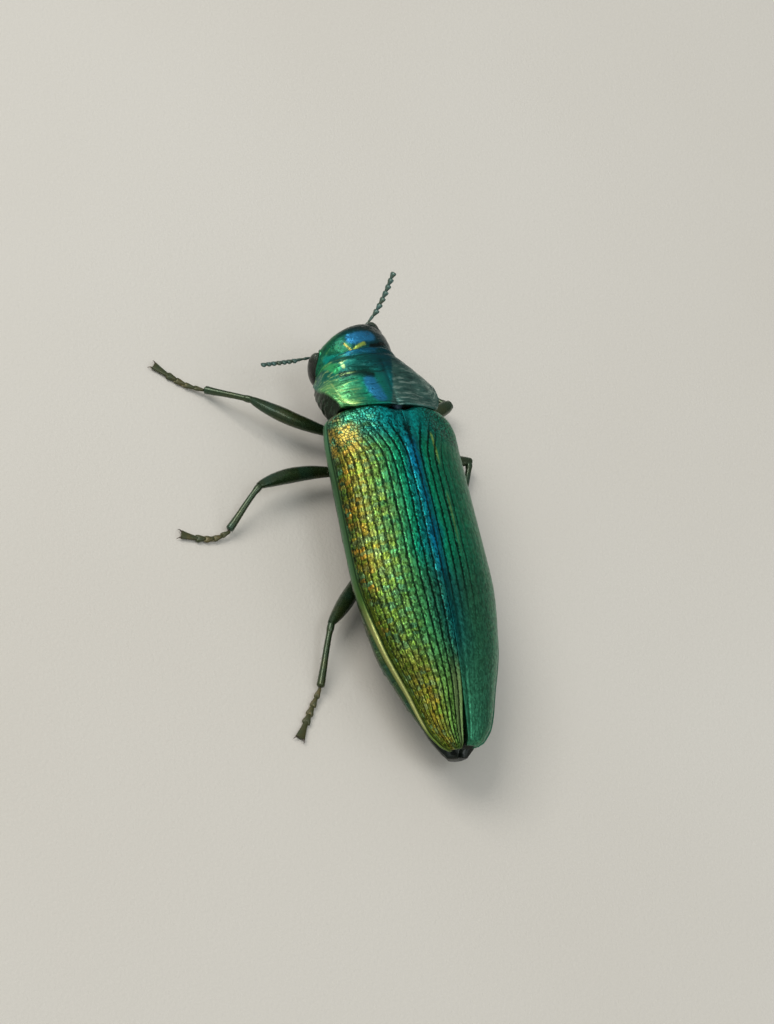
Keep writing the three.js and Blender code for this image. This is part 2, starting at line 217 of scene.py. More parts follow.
def loft(name: str, points: Array, notes: dict[str, Array] | None = None, crescent: int = 0) -> Piece:
    """A closed skin through rings of points.

    Args:
        name: the piece's name.
        points: (rings, sides, 3) in millimetres on the floor frame.
        notes: values (rings, sides) or (rings, sides, 3) to keep on the vertices.
        crescent: 0 shuts each end by a fan; otherwise the rings are crescents whose outer edge
            has this many vertices, and each end is shut across the crescent.

    Returns:
        The new object.
    """
    rings, sides = points.shape[:2]
    number = np.arange(rings * sides).reshape(rings, sides)
    after = np.roll(number, -1, axis=1)
    quads = np.stack([number[:-1], after[:-1], after[1:], number[1:]], -1).reshape(-1, 4)
    faces = quads.tolist()
    if crescent:
        for ring, step in ((number[0], -1), (number[-1], 1)):
            rows = ring[:crescent].tolist(), ring[:crescent - 1:-1].tolist()
            faces += [triangle[::step] for triangle in crescent_cap(*rows)]
    else:
        first, last = rings * sides, rings * sides + 1
        faces += [(first, int(j), int(i)) for i, j in zip(number[0], after[0])]
        faces += [(last, int(i), int(j)) for i, j in zip(number[-1], after[-1])]

    def with_ends(values: Array) -> Array:
        """Ring values with the mean of each end ring added where fans need it."""
        flat = values.reshape(rings * sides, -1)
        ends = [] if crescent else [values[0].mean(0).ravel(), values[-1].mean(0).ravel()]
        return np.concatenate([flat, np.reshape(ends, (-1, flat.shape[1]))])

    piece = new_piece(name, with_ends(points), faces)
    for key, values in (notes or {}).items():
        full = with_ends(values)
        store(piece, key, full if full.shape[1] == 3 else full[:, 0])
    return piece


def tube(
    name: str,
    line: Array,
    girth: Callable[[Array], tuple[Array, Array]],
    sides: int = 28,
    rings: int = 60,
    up: Sequence[float] = (0.0, 0.0, 1.0),
) -> Piece:
    """A round limb along a line.

    Args:
        name: the piece's name.
        line: (n, 3) points of the centre line in millimetres on the floor frame.
        girth: gives the half width and half height at shares 0 to 1 of the length.
        sides: vertices in a ring.
        rings: rings along the limb.
        up: the direction that counts as the limb's top.

    Returns:
        The new object, with the share of its length kept as "along" and the angle round it,
        -1 to 1 from underneath, as "around".
    """
    share = 0.5 - 0.5 * np.cos(np.linspace(0, math.pi, rings))
    centre, ahead = follow(line, share)
    side = np.cross(ahead, np.array(up, float))
    side /= np.linalg.norm(side, axis=1, keepdims=True)
    over = np.cross(side, ahead)
    angle = np.linspace(0, 2 * math.pi, sides, endpoint=False)
    wide, tall = girth(share)
    points = (
        centre[:, None]
        + side[:, None] * (wide[:, None] * np.sin(angle))[..., None]
        + over[:, None] * (tall[:, None] * np.cos(angle))[..., None]
    )
    notes = {
        "along": np.repeat(share[:, None], sides, 1),
        "around": np.repeat(np.cos(angle)[None], rings, 0),
    }
    return loft(name, points, notes)


def tapered(
    wide: tuple[float, float], tall: tuple[float, float], ease: float = 1.0
) -> Callable[[Array], tuple[Array, Array]]:
    """The girth of a limb whose half width and half height change from end to end."""
    return lambda share: (mix(*wide, share ** ease), mix(*tall, share ** ease))


def follow(line: Array, share: Array) -> tuple[Array, Array]:
    """Places and directions at shares of a smoothed line's length.

    Args:
        line: (n, 3) points.
        share: shares from 0 to 1.

    Returns:
        (m, 3) places and (m, 3) unit directions.
    """
    steps = np.linalg.norm(np.diff(line, axis=0), axis=1)
    at = np.concatenate([[0.0], np.cumsum(steps)]) / steps.sum()
    degree = min(3, len(line) - 1)
    fits = [np.polynomial.Polynomial.fit(at, line[:, k], degree, domain=[0, 1]) for k in range(3)]
    place = np.stack([f(share) for f in fits], -1)
    ahead = np.stack([f.deriv()(share) for f in fits], -1)
    return place, ahead / np.linalg.norm(ahead, axis=1, keepdims=True)


def spine(node: str, near: Array, stations: int = 12) -> Array:
    """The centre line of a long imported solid, from its vertices.

    Args:
        node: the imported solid's name.
        near: a point in millimetres by the end that the line starts from.
        stations: points on the line.

    Returns:
        (stations, 3) in millimetres on the floor frame.
    """
    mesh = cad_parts[node].data
    places = np.zeros(len(mesh.vertices) * 3, np.float32)
    mesh.vertices.foreach_get("co", places)
    places = np.unique(np.round(places.reshape(-1, 3) / MM, 4), axis=0).astype(float)
    middle = places.mean(0)
    reach = (places - middle) @ np.linalg.svd(places - middle)[2][0]
    share = (reach - reach.min()) / np.ptp(reach)
    fits = [np.polynomial.Polynomial.fit(share, places[:, k], 3, domain=[0, 1]) for k in range(3)]
    line = np.stack([fit(np.linspace(0, 1, stations)) for fit in fits], -1)
    ends = np.linalg.norm(line[[0, -1]] - near, axis=1)
    return line if ends[0] < ends[1] else line[::-1]


def centre_of(node: str) -> Array:
    """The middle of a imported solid's box, in millimetres."""
    low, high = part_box(node)
    return np.array((low + high) / 2) / MM


# ---- node trees -----------------------------------------------------------------------------
class Wiring:
    """A short hand for adding and joining the nodes of one tree."""

    def __init__(self, tree: Tree) -> None:
        """Starts on a tree that may already hold nodes."""
        self.tree = tree
        self.count = 0

    def add(self, kind: str, **settings: object) -> Node:
        """A new node of a kind, with its settings."""
        node = self.tree.nodes.new(kind)
        for key, value in settings.items():
            setattr(node, key, value)
        node.location = (200 * (self.count % 12), -220 * (self.count // 12))
        self.count += 1
        return node

    def feed(self, socket: Socket, value: object) -> None:
        """Joins a socket to an input, or sets the input's own value."""
        if isinstance(value, Socket):
            self.tree.links.new(value, socket)
        elif value is not None:
            socket.default_value = value

    def put(self, kind: str, given: dict[str, object], **settings: object) -> Node:
        """A new node of a kind with its settings, its named inputs joined or set."""
        node = self.add(kind, **settings)
        for name, value in given.items():
            self.feed(named(node.inputs, name), value)
        return node

    def math(self, operation: str, *values: object) -> Socket:
        """A sum, product or other operation on numbers."""
        node = self.add("ShaderNodeMath", operation=operation)
        for socket, value in zip(node.inputs, values):
            self.feed(socket, value)
        return node.outputs[0]

    def times(self, first: object, second: object) -> Socket:
        """The product of two numbers."""
        return self.math("MULTIPLY", first, second)

    def plus(self, first: object, second: object) -> Socket:
        """The sum of two numbers."""
        return self.math("ADD", first, second)

    def minus(self, first: object, second: object) -> Socket:
        """The first number less the second."""
        return self.math("SUBTRACT", first, second)

    def vector(self, operation: str, *values: object) -> Socket:
        """An operation on vectors."""
        node = self.add("ShaderNodeVectorMath", operation=operation)
        for socket, value in zip(node.inputs, values):
            self.feed(socket, value)
        return node.outputs[0]

    def dot(self, first: object, second: object) -> Socket:
        """The dot product of two vectors."""
        node = self.add("ShaderNodeVectorMath", operation="DOT_PRODUCT")
        self.feed(node.inputs[0], first)
        self.feed(node.inputs[1], second)
        return node.outputs["Value"]

    def scale(self, vector: object, amount: object) -> Socket:
        """A vector times a number."""
        node = self.add("ShaderNodeVectorMath", operation="SCALE")
        self.feed(node.inputs[0], vector)
        self.feed(node.inputs["Scale"], amount)
        return node.outputs[0]

    def band(
        self, value: object, low: object, high: object, start: object = 0.0, end: object = 1.0
    ) -> Socket:
        """A soft step of a value from `start` at `low` to `end` at `high`."""
        node = self.add("ShaderNodeMapRange", interpolation_type="SMOOTHSTEP")
        for socket, item in zip(node.inputs, (value, low, high, start, end)):
            self.feed(socket, item)
        return node.outputs[0]

    def window(self, value: object, rise: tuple[float, float], fall: tuple[float, float]) -> Socket:
        """1 between a soft rise and a soft fall, and 0 outside; each goes from 0 to 1."""
        return self.times(self.band(value, *rise), self.band(value, *fall))

    def blend(self, share: object, first: object, second: object, mode: str = "MIX") -> Socket:
        """Two colours blended by a share."""
        node = self.add("ShaderNodeMix", data_type="RGBA", blend_type=mode, clamp_factor=True)
        for index, value in ((0, share), (6, first), (7, second)):
            self.feed(node.inputs[index], value)
        return node.outputs[2]

    def ramp(self, value: object, stops: Sequence[tuple[float, str]]) -> Socket:
        """A colour along a row of (position, #rrggbb) stops."""
        node = self.add("ShaderNodeValToRGB")
        elements = node.color_ramp.elements
        while len(elements) < len(stops):
            elements.new(1.0)
        for index, (position, code) in enumerate(stops):
            elements[index].position = position
            elements[index].color = tint(code)
        self.feed(node.inputs[0], value)
        return node.outputs[0]

    def noise(self, place: object, scale: float, detail: float = 3.0, roughness: float = 0.55) -> Socket:
        """Cloudy noise from 0 to 1, round 0.5."""
        given = {"Vector": place, "Scale": scale, "Detail": detail, "Roughness": roughness}
        return self.put("ShaderNodeTexNoise", given).outputs[0]

    def cells(
        self, place: object, scale: object = 1.0, randomness: object = 1.0, edges: bool = False
    ) -> Node:
        """A cell pattern: distance to the nearest centre or edge, and a colour for each cell."""
        feature = "DISTANCE_TO_EDGE" if edges else "F1"
        given = {"Vector": place, "Scale": scale, "Randomness": randomness}
        return self.put("ShaderNodeTexVoronoi", given, feature=feature)

    def split(self, vector: object) -> list[Socket]:
        """The three parts of a vector."""
        node = self.add("ShaderNodeSeparateXYZ")
        self.feed(node.inputs[0], vector)
        return list(node.outputs)

    def join(self, x: object, y: object, z: object = 0.0) -> Socket:
        """A vector from three numbers."""
        node = self.add("ShaderNodeCombineXYZ")
        for socket, value in zip(node.inputs, (x, y, z)):
            self.feed(socket, value)
        return node.outputs[0]

    def note(self, name: str, vector: bool = False) -> Socket:
        """A value kept on the mesh, read by a material."""
        node = self.add("ShaderNodeAttribute", attribute_name=name)
        return node.outputs["Vector" if vector else "Fac"]

    def kept(self, name: str, vector: bool = False) -> Socket:
        """A value kept on the mesh, read by a geometry tree."""
        kind = "FLOAT_VECTOR" if vector else "FLOAT"
        node = self.add("GeometryNodeInputNamedAttribute", data_type=kind)
        node.inputs["Name"].default_value = name
        return node.outputs["Attribute"]

    def millimetres(self) -> Socket:
        """The piece's own coordinates, in millimetres."""
        node = self.add("ShaderNodeTexCoord")
        return self.scale(node.outputs["Object"], 1 / MM)


def named(sockets: object, name: str) -> Socket:
    """A node's socket that is switched on and has a name."""
    return next(s for s in sockets if s.name == name and s.enabled)


def make_group(
    name: str,
    kind: str,
    inputs: Sequence[tuple[str, str, object]],
    outputs: Sequence[tuple[str, str]],
) -> Group:
    """A node group with named sockets.

    Args:
        name: the group's name.
        kind: "ShaderNodeTree" or "GeometryNodeTree".
        inputs: (name, socket type without its prefix, default or None).
        outputs: (name, socket type without its prefix).

    Returns:
        The tree, a hand to wire it, its inputs by name and its output node.
    """
    tree = bpy.data.node_groups.new(name, kind)
    for label, socket, default in inputs:
        made = tree.interface.new_socket(name=label, in_out="INPUT", socket_type="NodeSocket" + socket)
        if default is not None:
            made.default_value = default
    for label, socket in outputs:
        tree.interface.new_socket(name=label, in_out="OUTPUT", socket_type="NodeSocket" + socket)
    hand = Wiring(tree)
    source = hand.add("NodeGroupInput")
    end = hand.add("NodeGroupOutput")
    return tree, hand, {s.name: s for s in source.outputs if s.name}, end


class SharedEffects:
    """The node groups that several finishes use."""

    def __init__(self) -> None:
        """Builds each group once."""
        self.grain = self._grain()
        self.pits = self._pits()
        self.film = self._film()
        self.stroke = self._stroke()

    def _grain(self) -> Tree:
        """Fine unevenness: a height and a roughness mask from two sizes of noise."""
        tree, hand, given, end = make_group(
            "Fine grain",
            "ShaderNodeTree",
            [("Place", "Vector", None), ("Scale", "Float", 1.0), ("Stretch", "Vector", (1, 1, 1))],
            [("Height", "Float"), ("Mask", "Float")],
        )
        place = hand.vector("MULTIPLY", given["Place"], given["Stretch"])
        place = hand.scale(place, given["Scale"])
        coarse = hand.noise(place, 1.0, 4.0)
        fine = hand.noise(place, 5.0, 2.0, 0.7)
        height = hand.plus(hand.times(coarse, 0.6), hand.times(fine, 0.4))
        hand.feed(end.inputs["Height"], height)
        hand.feed(end.inputs["Mask"], hand.band(height, 0.35, 0.65))
        return tree

    def _pits(self) -> Tree:
        """Punctures: a mask that is 1 in each pit, and a number for the cell round it."""
        tree, hand, given, end = make_group(
            "Punctures",
            "ShaderNodeTree",
            [
                ("Place", "Vector", None),
                ("Per Millimetre", "Float", 6.0),
                ("Size", "Float", 0.3),
                ("Randomness", "Float", 0.8),
            ],
            [("Pit", "Float"), ("Cell", "Float"), ("Cell Colour", "Color")],
        )
        cell = hand.cells(given["Place"], given["Per Millimetre"], given["Randomness"])
        inner = hand.times(given["Size"], 0.4)
        pit = hand.band(cell.outputs["Distance"], inner, given["Size"], 1.0, 0.0)
        hand.feed(end.inputs["Pit"], pit)
        hand.feed(end.inputs["Cell"], hand.split(cell.outputs["Color"])[0])
        hand.feed(end.inputs["Cell Colour"], cell.outputs["Color"])
        return tree

    def _film(self) -> Tree:
        """An interference film: patches of a base colour that shift to warm or to cool."""
        tree, hand, given, end = make_group(
            "Interference film",
            "ShaderNodeTree",
            [
                ("Place", "Vector", None),
                ("Scale", "Float", 1.0),
                ("Base", "Color", None),
                ("Warm", "Color", None),
                ("Cool", "Color", None),
                ("Amount", "Float", 0.5),
            ],
            [("Color", "Color")],
        )
        cloud = hand.noise(hand.scale(given["Place"], given["Scale"]), 1.0, 3.0)
        warm = hand.times(hand.band(cloud, 0.5, 0.68), given["Amount"])
        cool = hand.times(hand.band(cloud, 0.5, 0.32), given["Amount"])
        colour = hand.blend(warm, given["Base"], given["Warm"])
        hand.feed(end.inputs["Color"], hand.blend(cool, colour, given["Cool"]))
        return tree

    def _stroke(self) -> Tree:
        """A soft-edged mark along a straight line: 1 inside it and 0 past its width."""
        tree, hand, given, end = make_group(
            "Stroke",
            "ShaderNodeTree",
            [
                ("Place", "Vector", None), ("Start", "Vector", None), ("End", "Vector", None),
                ("Width", "Float", 0.1), ("Softness", "Float", 0.5),
            ],
            [("Mask", "Float")],
        )
        reach = hand.vector("SUBTRACT", given["End"], given["Start"])
        away = hand.vector("SUBTRACT", given["Place"], given["Start"])
        share = hand.math("DIVIDE", hand.dot(away, reach), hand.dot(reach, reach))
        share = hand.math("MINIMUM", hand.math("MAXIMUM", share, 0.0), 1.0)
        off = hand.vector("SUBTRACT", away, hand.scale(reach, share))
        distance = hand.math("DIVIDE", hand.math("SQRT", hand.dot(off, off)), given["Width"])
        inner = hand.minus(1.0, given["Softness"])
        hand.feed(end.inputs["Mask"], hand.band(distance, inner, 1.0, 1.0, 0.0))
        return tree

    @staticmethod
    def use(hand: Wiring, tree: Tree, values: dict[str, object]) -> Node:
        """Places a group in a material with its own values."""
        return hand.put("ShaderNodeGroup", values, node_tree=tree)

    def grained(self, hand: Wiring, place: object, scale: float) -> Node:
        """Fine grain over a material."""
        return self.use(hand, self.grain, {"Place": place, "Scale": scale})

    def pitted(
        self, hand: Wiring, place: object, density: float, size: float, randomness: float = 0.9
    ) -> Socket:
        """The mask of punctures, `density` of them to a millimetre."""
        node = self.use(hand, self.pits, {
            "Place": place, "Per Millimetre": density, "Size": size, "Randomness": randomness,
        })
        return node.outputs["Pit"]


EFFECTS = SharedEffects()


@dataclass(frozen=True)
class Mark:
    """One soft stroke of colour on a part, between two places (x, y) in the part's own frame."""

    colour: str
    start: tuple[float, float]
    end: tuple[float, float]
    width: float
    strength: float = 0.9
    soft: float = 0.5

    def lay(
        self, hand: Wiring, colour: object, place: object, height: Callable[[float, float], float]
    ) -> Socket:
        """Blends the mark over a colour.

        Args:
            hand: the wiring of the material.
            colour: what lies under the mark.
            place: the place in the part's own frame.
            height: the part's height over a place across and along it.

        Returns:
            The colour with the mark on it.
        """
        start = (*self.start, height(*self.start))
        end = (*self.end, height(*self.end))
        stroke = SharedEffects.use(hand, EFFECTS.stroke, {
            "Place": place, "Start": start, "End": end, "Width": self.width,
            "Softness": self.soft,
        })
        share = hand.times(stroke.outputs["Mask"], self.strength)
        return hand.blend(share, colour, tint(self.colour))


# ---- brickwork of the wing cases ------------------------------------------------------------
STRIP_GROWTH = 0.02  # how much wider the margin strip is at the tip, as a share of the width


@dataclass(frozen=True)
class Brickwork:
    """Grooves along a wing case and joints across it, for its relief and for its colours."""

    wander: float = 0.24
    shake: float = 0.3

    def lines(self, hand: Wiring, lattice: object, place: object, across: object) -> dict[str, object]:
        """Works out where a point lies between the grooves and the joints.

        Args:
            hand: the tree to wire, of a material or of a geometry tree.
            lattice: groove number and joint number as a vector.
            place: the place in millimetres.
            across: 0 at the suture and 1 at the margin; the rows are less even further out.

        Returns:
            "groove" and "joint" distances from the nearest line, and three random "tones" of
            the brick.
        """
        column, row, side = hand.split(lattice)
        slow = hand.minus(hand.noise(place, 1.3, 2.0), 0.5)
        fast = hand.minus(hand.noise(place, 6.5, 3.0), 0.5)
        fast = hand.times(fast, hand.band(across, 0.2, 0.5, 0.6, 2.0))
        column = hand.plus(column, hand.times(slow, self.wander))
        column = hand.plus(column, hand.times(fast, self.shake))
        number = hand.math("FLOOR", column)
        share = hand.minus(column, number)
        dice = hand.add("ShaderNodeTexWhiteNoise", noise_dimensions="2D")
        hand.feed(dice.inputs["Vector"], hand.join(number, side))
        row = hand.plus(row, hand.times(dice.outputs["Value"], 5.0))
        row = hand.plus(row, hand.times(fast, 1.1))
        brick = hand.math("FLOOR", row)
        within = hand.minus(row, brick)
        dice = hand.add("ShaderNodeTexWhiteNoise", noise_dimensions="3D")
        hand.feed(dice.inputs["Vector"], hand.join(number, brick, side))
        tones = hand.split(dice.outputs["Color"])
        joint = self._off_edge(hand, within)
        parted = hand.math("ABSOLUTE", hand.minus(share, 0.5))
        whole = hand.band(tones[2], 0.42, 0.44, 1.0, 0.0)
        joint = hand.math("MINIMUM", joint, hand.plus(parted, whole))
        return {"groove": self._off_edge(hand, share), "joint": joint, "tones": tones}

    @staticmethod
    def _off_edge(hand: Wiring, share: object) -> Socket:
        """How far a share from 0 to 1 is from its nearer end."""
        return hand.math("MINIMUM", share, hand.minus(1.0, share))

    @staticmethod
    def to_strip(hand: Wiring, across: object, along: object) -> object:
        """Distance across to the margin strip, which is wider towards the tip."""
        return hand.plus(across, hand.band(along, 0.5, 0.75, 0.0, STRIP_GROWTH))

    @staticmethod
    def strength(hand: Wiring, across: object, along: object, outer: object, tail: object) -> object:
        """How strongly the grooves show: none on the shoulder and the margin strip."""
        fade = hand.band(across, 0.22, 0.42, 1.0, outer)
        shoulder = hand.band(hand.minus(along, hand.times(across, 0.1)), 0.0, 0.07)
        strip = hand.band(Brickwork.to_strip(hand, across, along), 0.88, 0.9, 1.0, 0.0)
        end = hand.band(along, 0.5, 0.72, 1.0, tail)
        fade = hand.times(fade, end)
        return hand.times(fade, hand.times(shoulder, strip))


BRICKS = Brickwork()


# ---- finishes -------------------------------------------------------------------------------
@dataclass(frozen=True)
class Finish:
    """One surface: its gloss, and how its colour and relief are painted."""

    name: str
    slot: str
    metallic: float = 0.6
    rough: tuple[float, float] = (0.25, 0.4)
    coat: float = 0.3
    coat_rough: float = 0.12
    relief: float = 0.02

    def material(self) -> bpy.types.Material:
        """The finish as a Blender material, made once."""
        made = bpy.data.materials.get(self.name)
        if made is not None:
            return made
        made = bpy.data.materials.new(self.name)
        made.use_nodes = True
        made.node_tree.nodes.clear()
        hand = Wiring(made.node_tree)
        colour, height, dull = self.paint(hand)
        bump_node = hand.put("ShaderNodeBump", {
            "Strength": 1.0, "Distance": self.relief * MM, "Height": height,
        })
        shader = hand.put("ShaderNodeBsdfPrincipled", {
            "Base Color": colour, "Metallic": self.metallic, "Coat Weight": self.coat,
            "Coat Roughness": self.coat_rough, "Normal": bump_node.outputs[0],
            "Roughness": hand.band(dull, 0.0, 1.0, *self.rough),
        })
        hand.put("ShaderNodeOutputMaterial", {"Surface": shader.outputs[0]})
        return made

    def paint(self, hand: Wiring) -> tuple[object, object, object]:
        """The colour, the height in units of the relief, and the dullness from 0 to 1."""
        raise NotImplementedError


@dataclass(frozen=True)
class WingCaseFinish(Finish):
    """A wing case: colour runs across it, and changes from base to tip."""

    base: tuple[tuple[float, str], ...] = ()
    middle: tuple[tuple[float, str], ...] = ()
    rear: tuple[tuple[float, str], ...] = ()
    tip: tuple[tuple[float, str], ...] = ()
    sparkle: float = 1.0
    outer_grooves: float = 0.8
    tail_grooves: float = 1.0
    # How strongly a pale line is painted along one groove, as a highlight.
    line: float = 0.0
    ridge: float = 0.0

    def paint(self, hand: Wiring) -> tuple[object, object, object]:
        """Bricks of shifted colour between dark grooves and joints, all finely grained."""
        across = hand.note("across")
        along = hand.note("along")
        place = hand.millimetres()
        lines = BRICKS.lines(hand, hand.note("lattice", vector=True), place, across)
        tone, hue, shine = lines["tones"]
        outer = hand.window(across, (0.2, 0.45), (0.9, 0.86))
        outer = hand.times(outer, self.sparkle)
        patches = hand.noise(hand.vector("MULTIPLY", place, (1.0, 0.4, 1.0)), 1.4, 2.0)
        shift = hand.times(hand.minus(patches, 0.5), 0.16)
        jitter = hand.times(hand.minus(tone, 0.5), 0.2)
        shift = hand.plus(shift, hand.times(jitter, outer))
        inside = hand.band(across, 0.86, 0.9, 1.0, 0.0)
        shifted = hand.plus(across, hand.times(shift, inside))
        colour = hand.blend(
            hand.band(along, 0.05, 0.13), hand.ramp(shifted, self.base), hand.ramp(shifted, self.middle)
        )
        colour = hand.blend(hand.band(along, 0.44, 0.58), colour, hand.ramp(shifted, self.rear))
        colour = hand.blend(hand.band(along, 0.68, 0.88), colour, hand.ramp(shifted, self.tip))
        colour = self.other_bricks(hand, colour, outer, hue, along, across)
        light = hand.band(shine, 0.0, 1.0, 0.6, 1.4)
        light = hand.plus(1.0, hand.times(hand.minus(light, 1.0), outer))
        colour = hand.scale(colour, light)
        colour = hand.scale(colour, self.grains(hand, place, inside))
        colour = self.shoulder(hand, colour, place, along, across)
        colour = self.rims(hand, colour, across, along)
        strength = BRICKS.strength(hand, across, along, self.outer_grooves, self.tail_grooves)
        ragged = hand.minus(hand.noise(place, 9.0, 3.0, 0.7), 0.5)
        ragged = hand.times(ragged, 0.5)
        groove = hand.band(hand.plus(lines["groove"], ragged), 0.07, 0.24, 1.0, 0.0)
        groove = hand.times(groove, strength)
        joint = hand.band(hand.plus(lines["joint"], ragged), 0.04, 0.2, 0.6, 0.0)
        crack = hand.cells(hand.vector("MULTIPLY", place, (1.0, 0.7, 1.0)), 6.5, 1.0, edges=True)
        crack = hand.band(crack.outputs["Distance"], 0.02, 0.09, 0.55, 0.0)
        joint = hand.times(hand.math("MAXIMUM", joint, crack), outer)
        dark = hand.math("MAXIMUM", groove, hand.times(joint, strength))
        edge = BRICKS.to_strip(hand, across, along)
        brink = hand.window(edge, (0.885, 0.9), (0.92, 0.905))
        dark = hand.math("MAXIMUM", dark, hand.times(brink, 0.7))
        colour = hand.blend(hand.times(dark, 0.93), colour, tint("#03120b"))
        grain = EFFECTS.grained(hand, place, 7.0)
        return colour, grain.outputs["Height"], hand.math("MAXIMUM", dark, grain.outputs["Mask"])

    def other_bricks(
        self, hand: Wiring, colour: object, outer: object, hue: object, along: object, across: object
    ) -> object:
        """Some bricks are grey-teal, some lime and a few orange; one pale line, a painted highlight,
        runs apart.
        """
        teal = hand.times(hand.band(hue, 0.78, 0.9, 0.0, 0.5), outer)
        colour = hand.blend(teal, colour, tint("#4f8a68"))
        lime = hand.times(hand.band(hue, 0.3, 0.2, 0.0, 0.55), outer)
        colour = hand.blend(lime, colour, tint("#6f942e"))
        flank = hand.times(hand.band(across, 0.6, 0.7), hand.band(along, 0.75, 0.6))
        gold = hand.window(hue, (0.6, 0.64), (0.8, 0.78))
        gold = hand.times(hand.times(gold, outer), flank)
        colour = hand.blend(hand.times(gold, 0.55), colour, tint("#bc882e"))
        # Painted highlight: a thin pale line along one groove, as strong as the finish's line.
        off = hand.math("ABSOLUTE", hand.minus(across, 0.235))
        first = hand.window(along, (0.075, 0.09), (0.2, 0.13))
        second = hand.times(hand.band(along, 0.26, 0.3), hand.band(along, 0.5, 0.34, 0.0, 0.4))
        span = hand.math("MAXIMUM", first, second)
        pale = hand.times(hand.band(off, 0.005, 0.02, self.line, 0.0), span)
        return hand.blend(pale, colour, tint("#b0d466"))

    def grains(self, hand: Wiring, place: object, inside: object) -> object:
        """A brightness that changes from grain to grain, drawn out along the body."""
        speck = hand.cells(hand.vector("MULTIPLY", place, (1.0, 0.55, 1.0)), 14.0, 1.0)
        value = hand.split(speck.outputs["Color"])[1]
        spread = 0.28 + 0.36 * self.sparkle
        bright = hand.band(value, 0.0, 1.0, 1.0 - spread, 1.0 + spread)
        off = hand.times(hand.minus(bright, 1.0), inside)
        return hand.plus(off, 1.0)

    def rims(self, hand: Wiring, colour: object, across: object, along: object) -> object:
        """Paler ridges towards the tip, on the margin strip and along the suture."""
        edge = BRICKS.to_strip(hand, across, along)
        strip = hand.window(edge, (0.9, 0.915), (1.01, 0.995))
        strip = hand.times(strip, hand.band(along, 0.55, 0.68, 0.0, 0.8 * self.ridge))
        strip = hand.times(strip, hand.band(along, 0.96, 0.93))
        colour = hand.blend(strip, colour, tint("#a8aa6c"))
        band = hand.window(edge, (0.8, 0.82), (0.89, 0.88))
        band = hand.times(band, hand.band(along, 0.45, 0.6, 0.0, 0.8 * self.ridge))
        colour = hand.blend(band, colour, tint("#55681c"))
        seam = hand.window(across, (0.0, 0.03), (0.14, 0.1))
        seam = hand.times(seam, hand.band(along, 0.76, 0.86, 0.0, 0.7 * self.ridge))
        return hand.blend(seam, colour, tint("#748a58"))

    def shoulder(
        self, hand: Wiring, colour: object, place: object, along: object, across: object
    ) -> object:
        """Fine bright strokes on a dark ground, over the shoulder."""
        gold = hand.noise(place, 2.4, 4.0, 0.7)
        near = hand.window(across, (0.42, 0.58), (0.9, 0.84))
        near = hand.times(near, hand.window(along, (0.04, 0.06), (0.14, 0.11)))
        gold = hand.times(hand.band(gold, 0.4, 0.46), near)
        gold = hand.times(gold, 0.8 * self.ridge)
        colour = hand.blend(gold, colour, tint("#c8a848"))
        stroke = hand.cells(place, 6.5, 1.0, edges=True)
        gap = hand.band(stroke.outputs["Distance"], 0.16, 0.06)
        front = hand.band(hand.minus(along, hand.times(across, 0.07)), 0.09, 0.05)
        zone = hand.times(front, hand.band(across, 0.12, 0.3))
        zone = hand.times(zone, hand.band(across, 0.93, 0.88))
        dark = hand.times(hand.times(gap, zone), 0.85)
        return hand.blend(dark, colour, tint("#0a3324"))


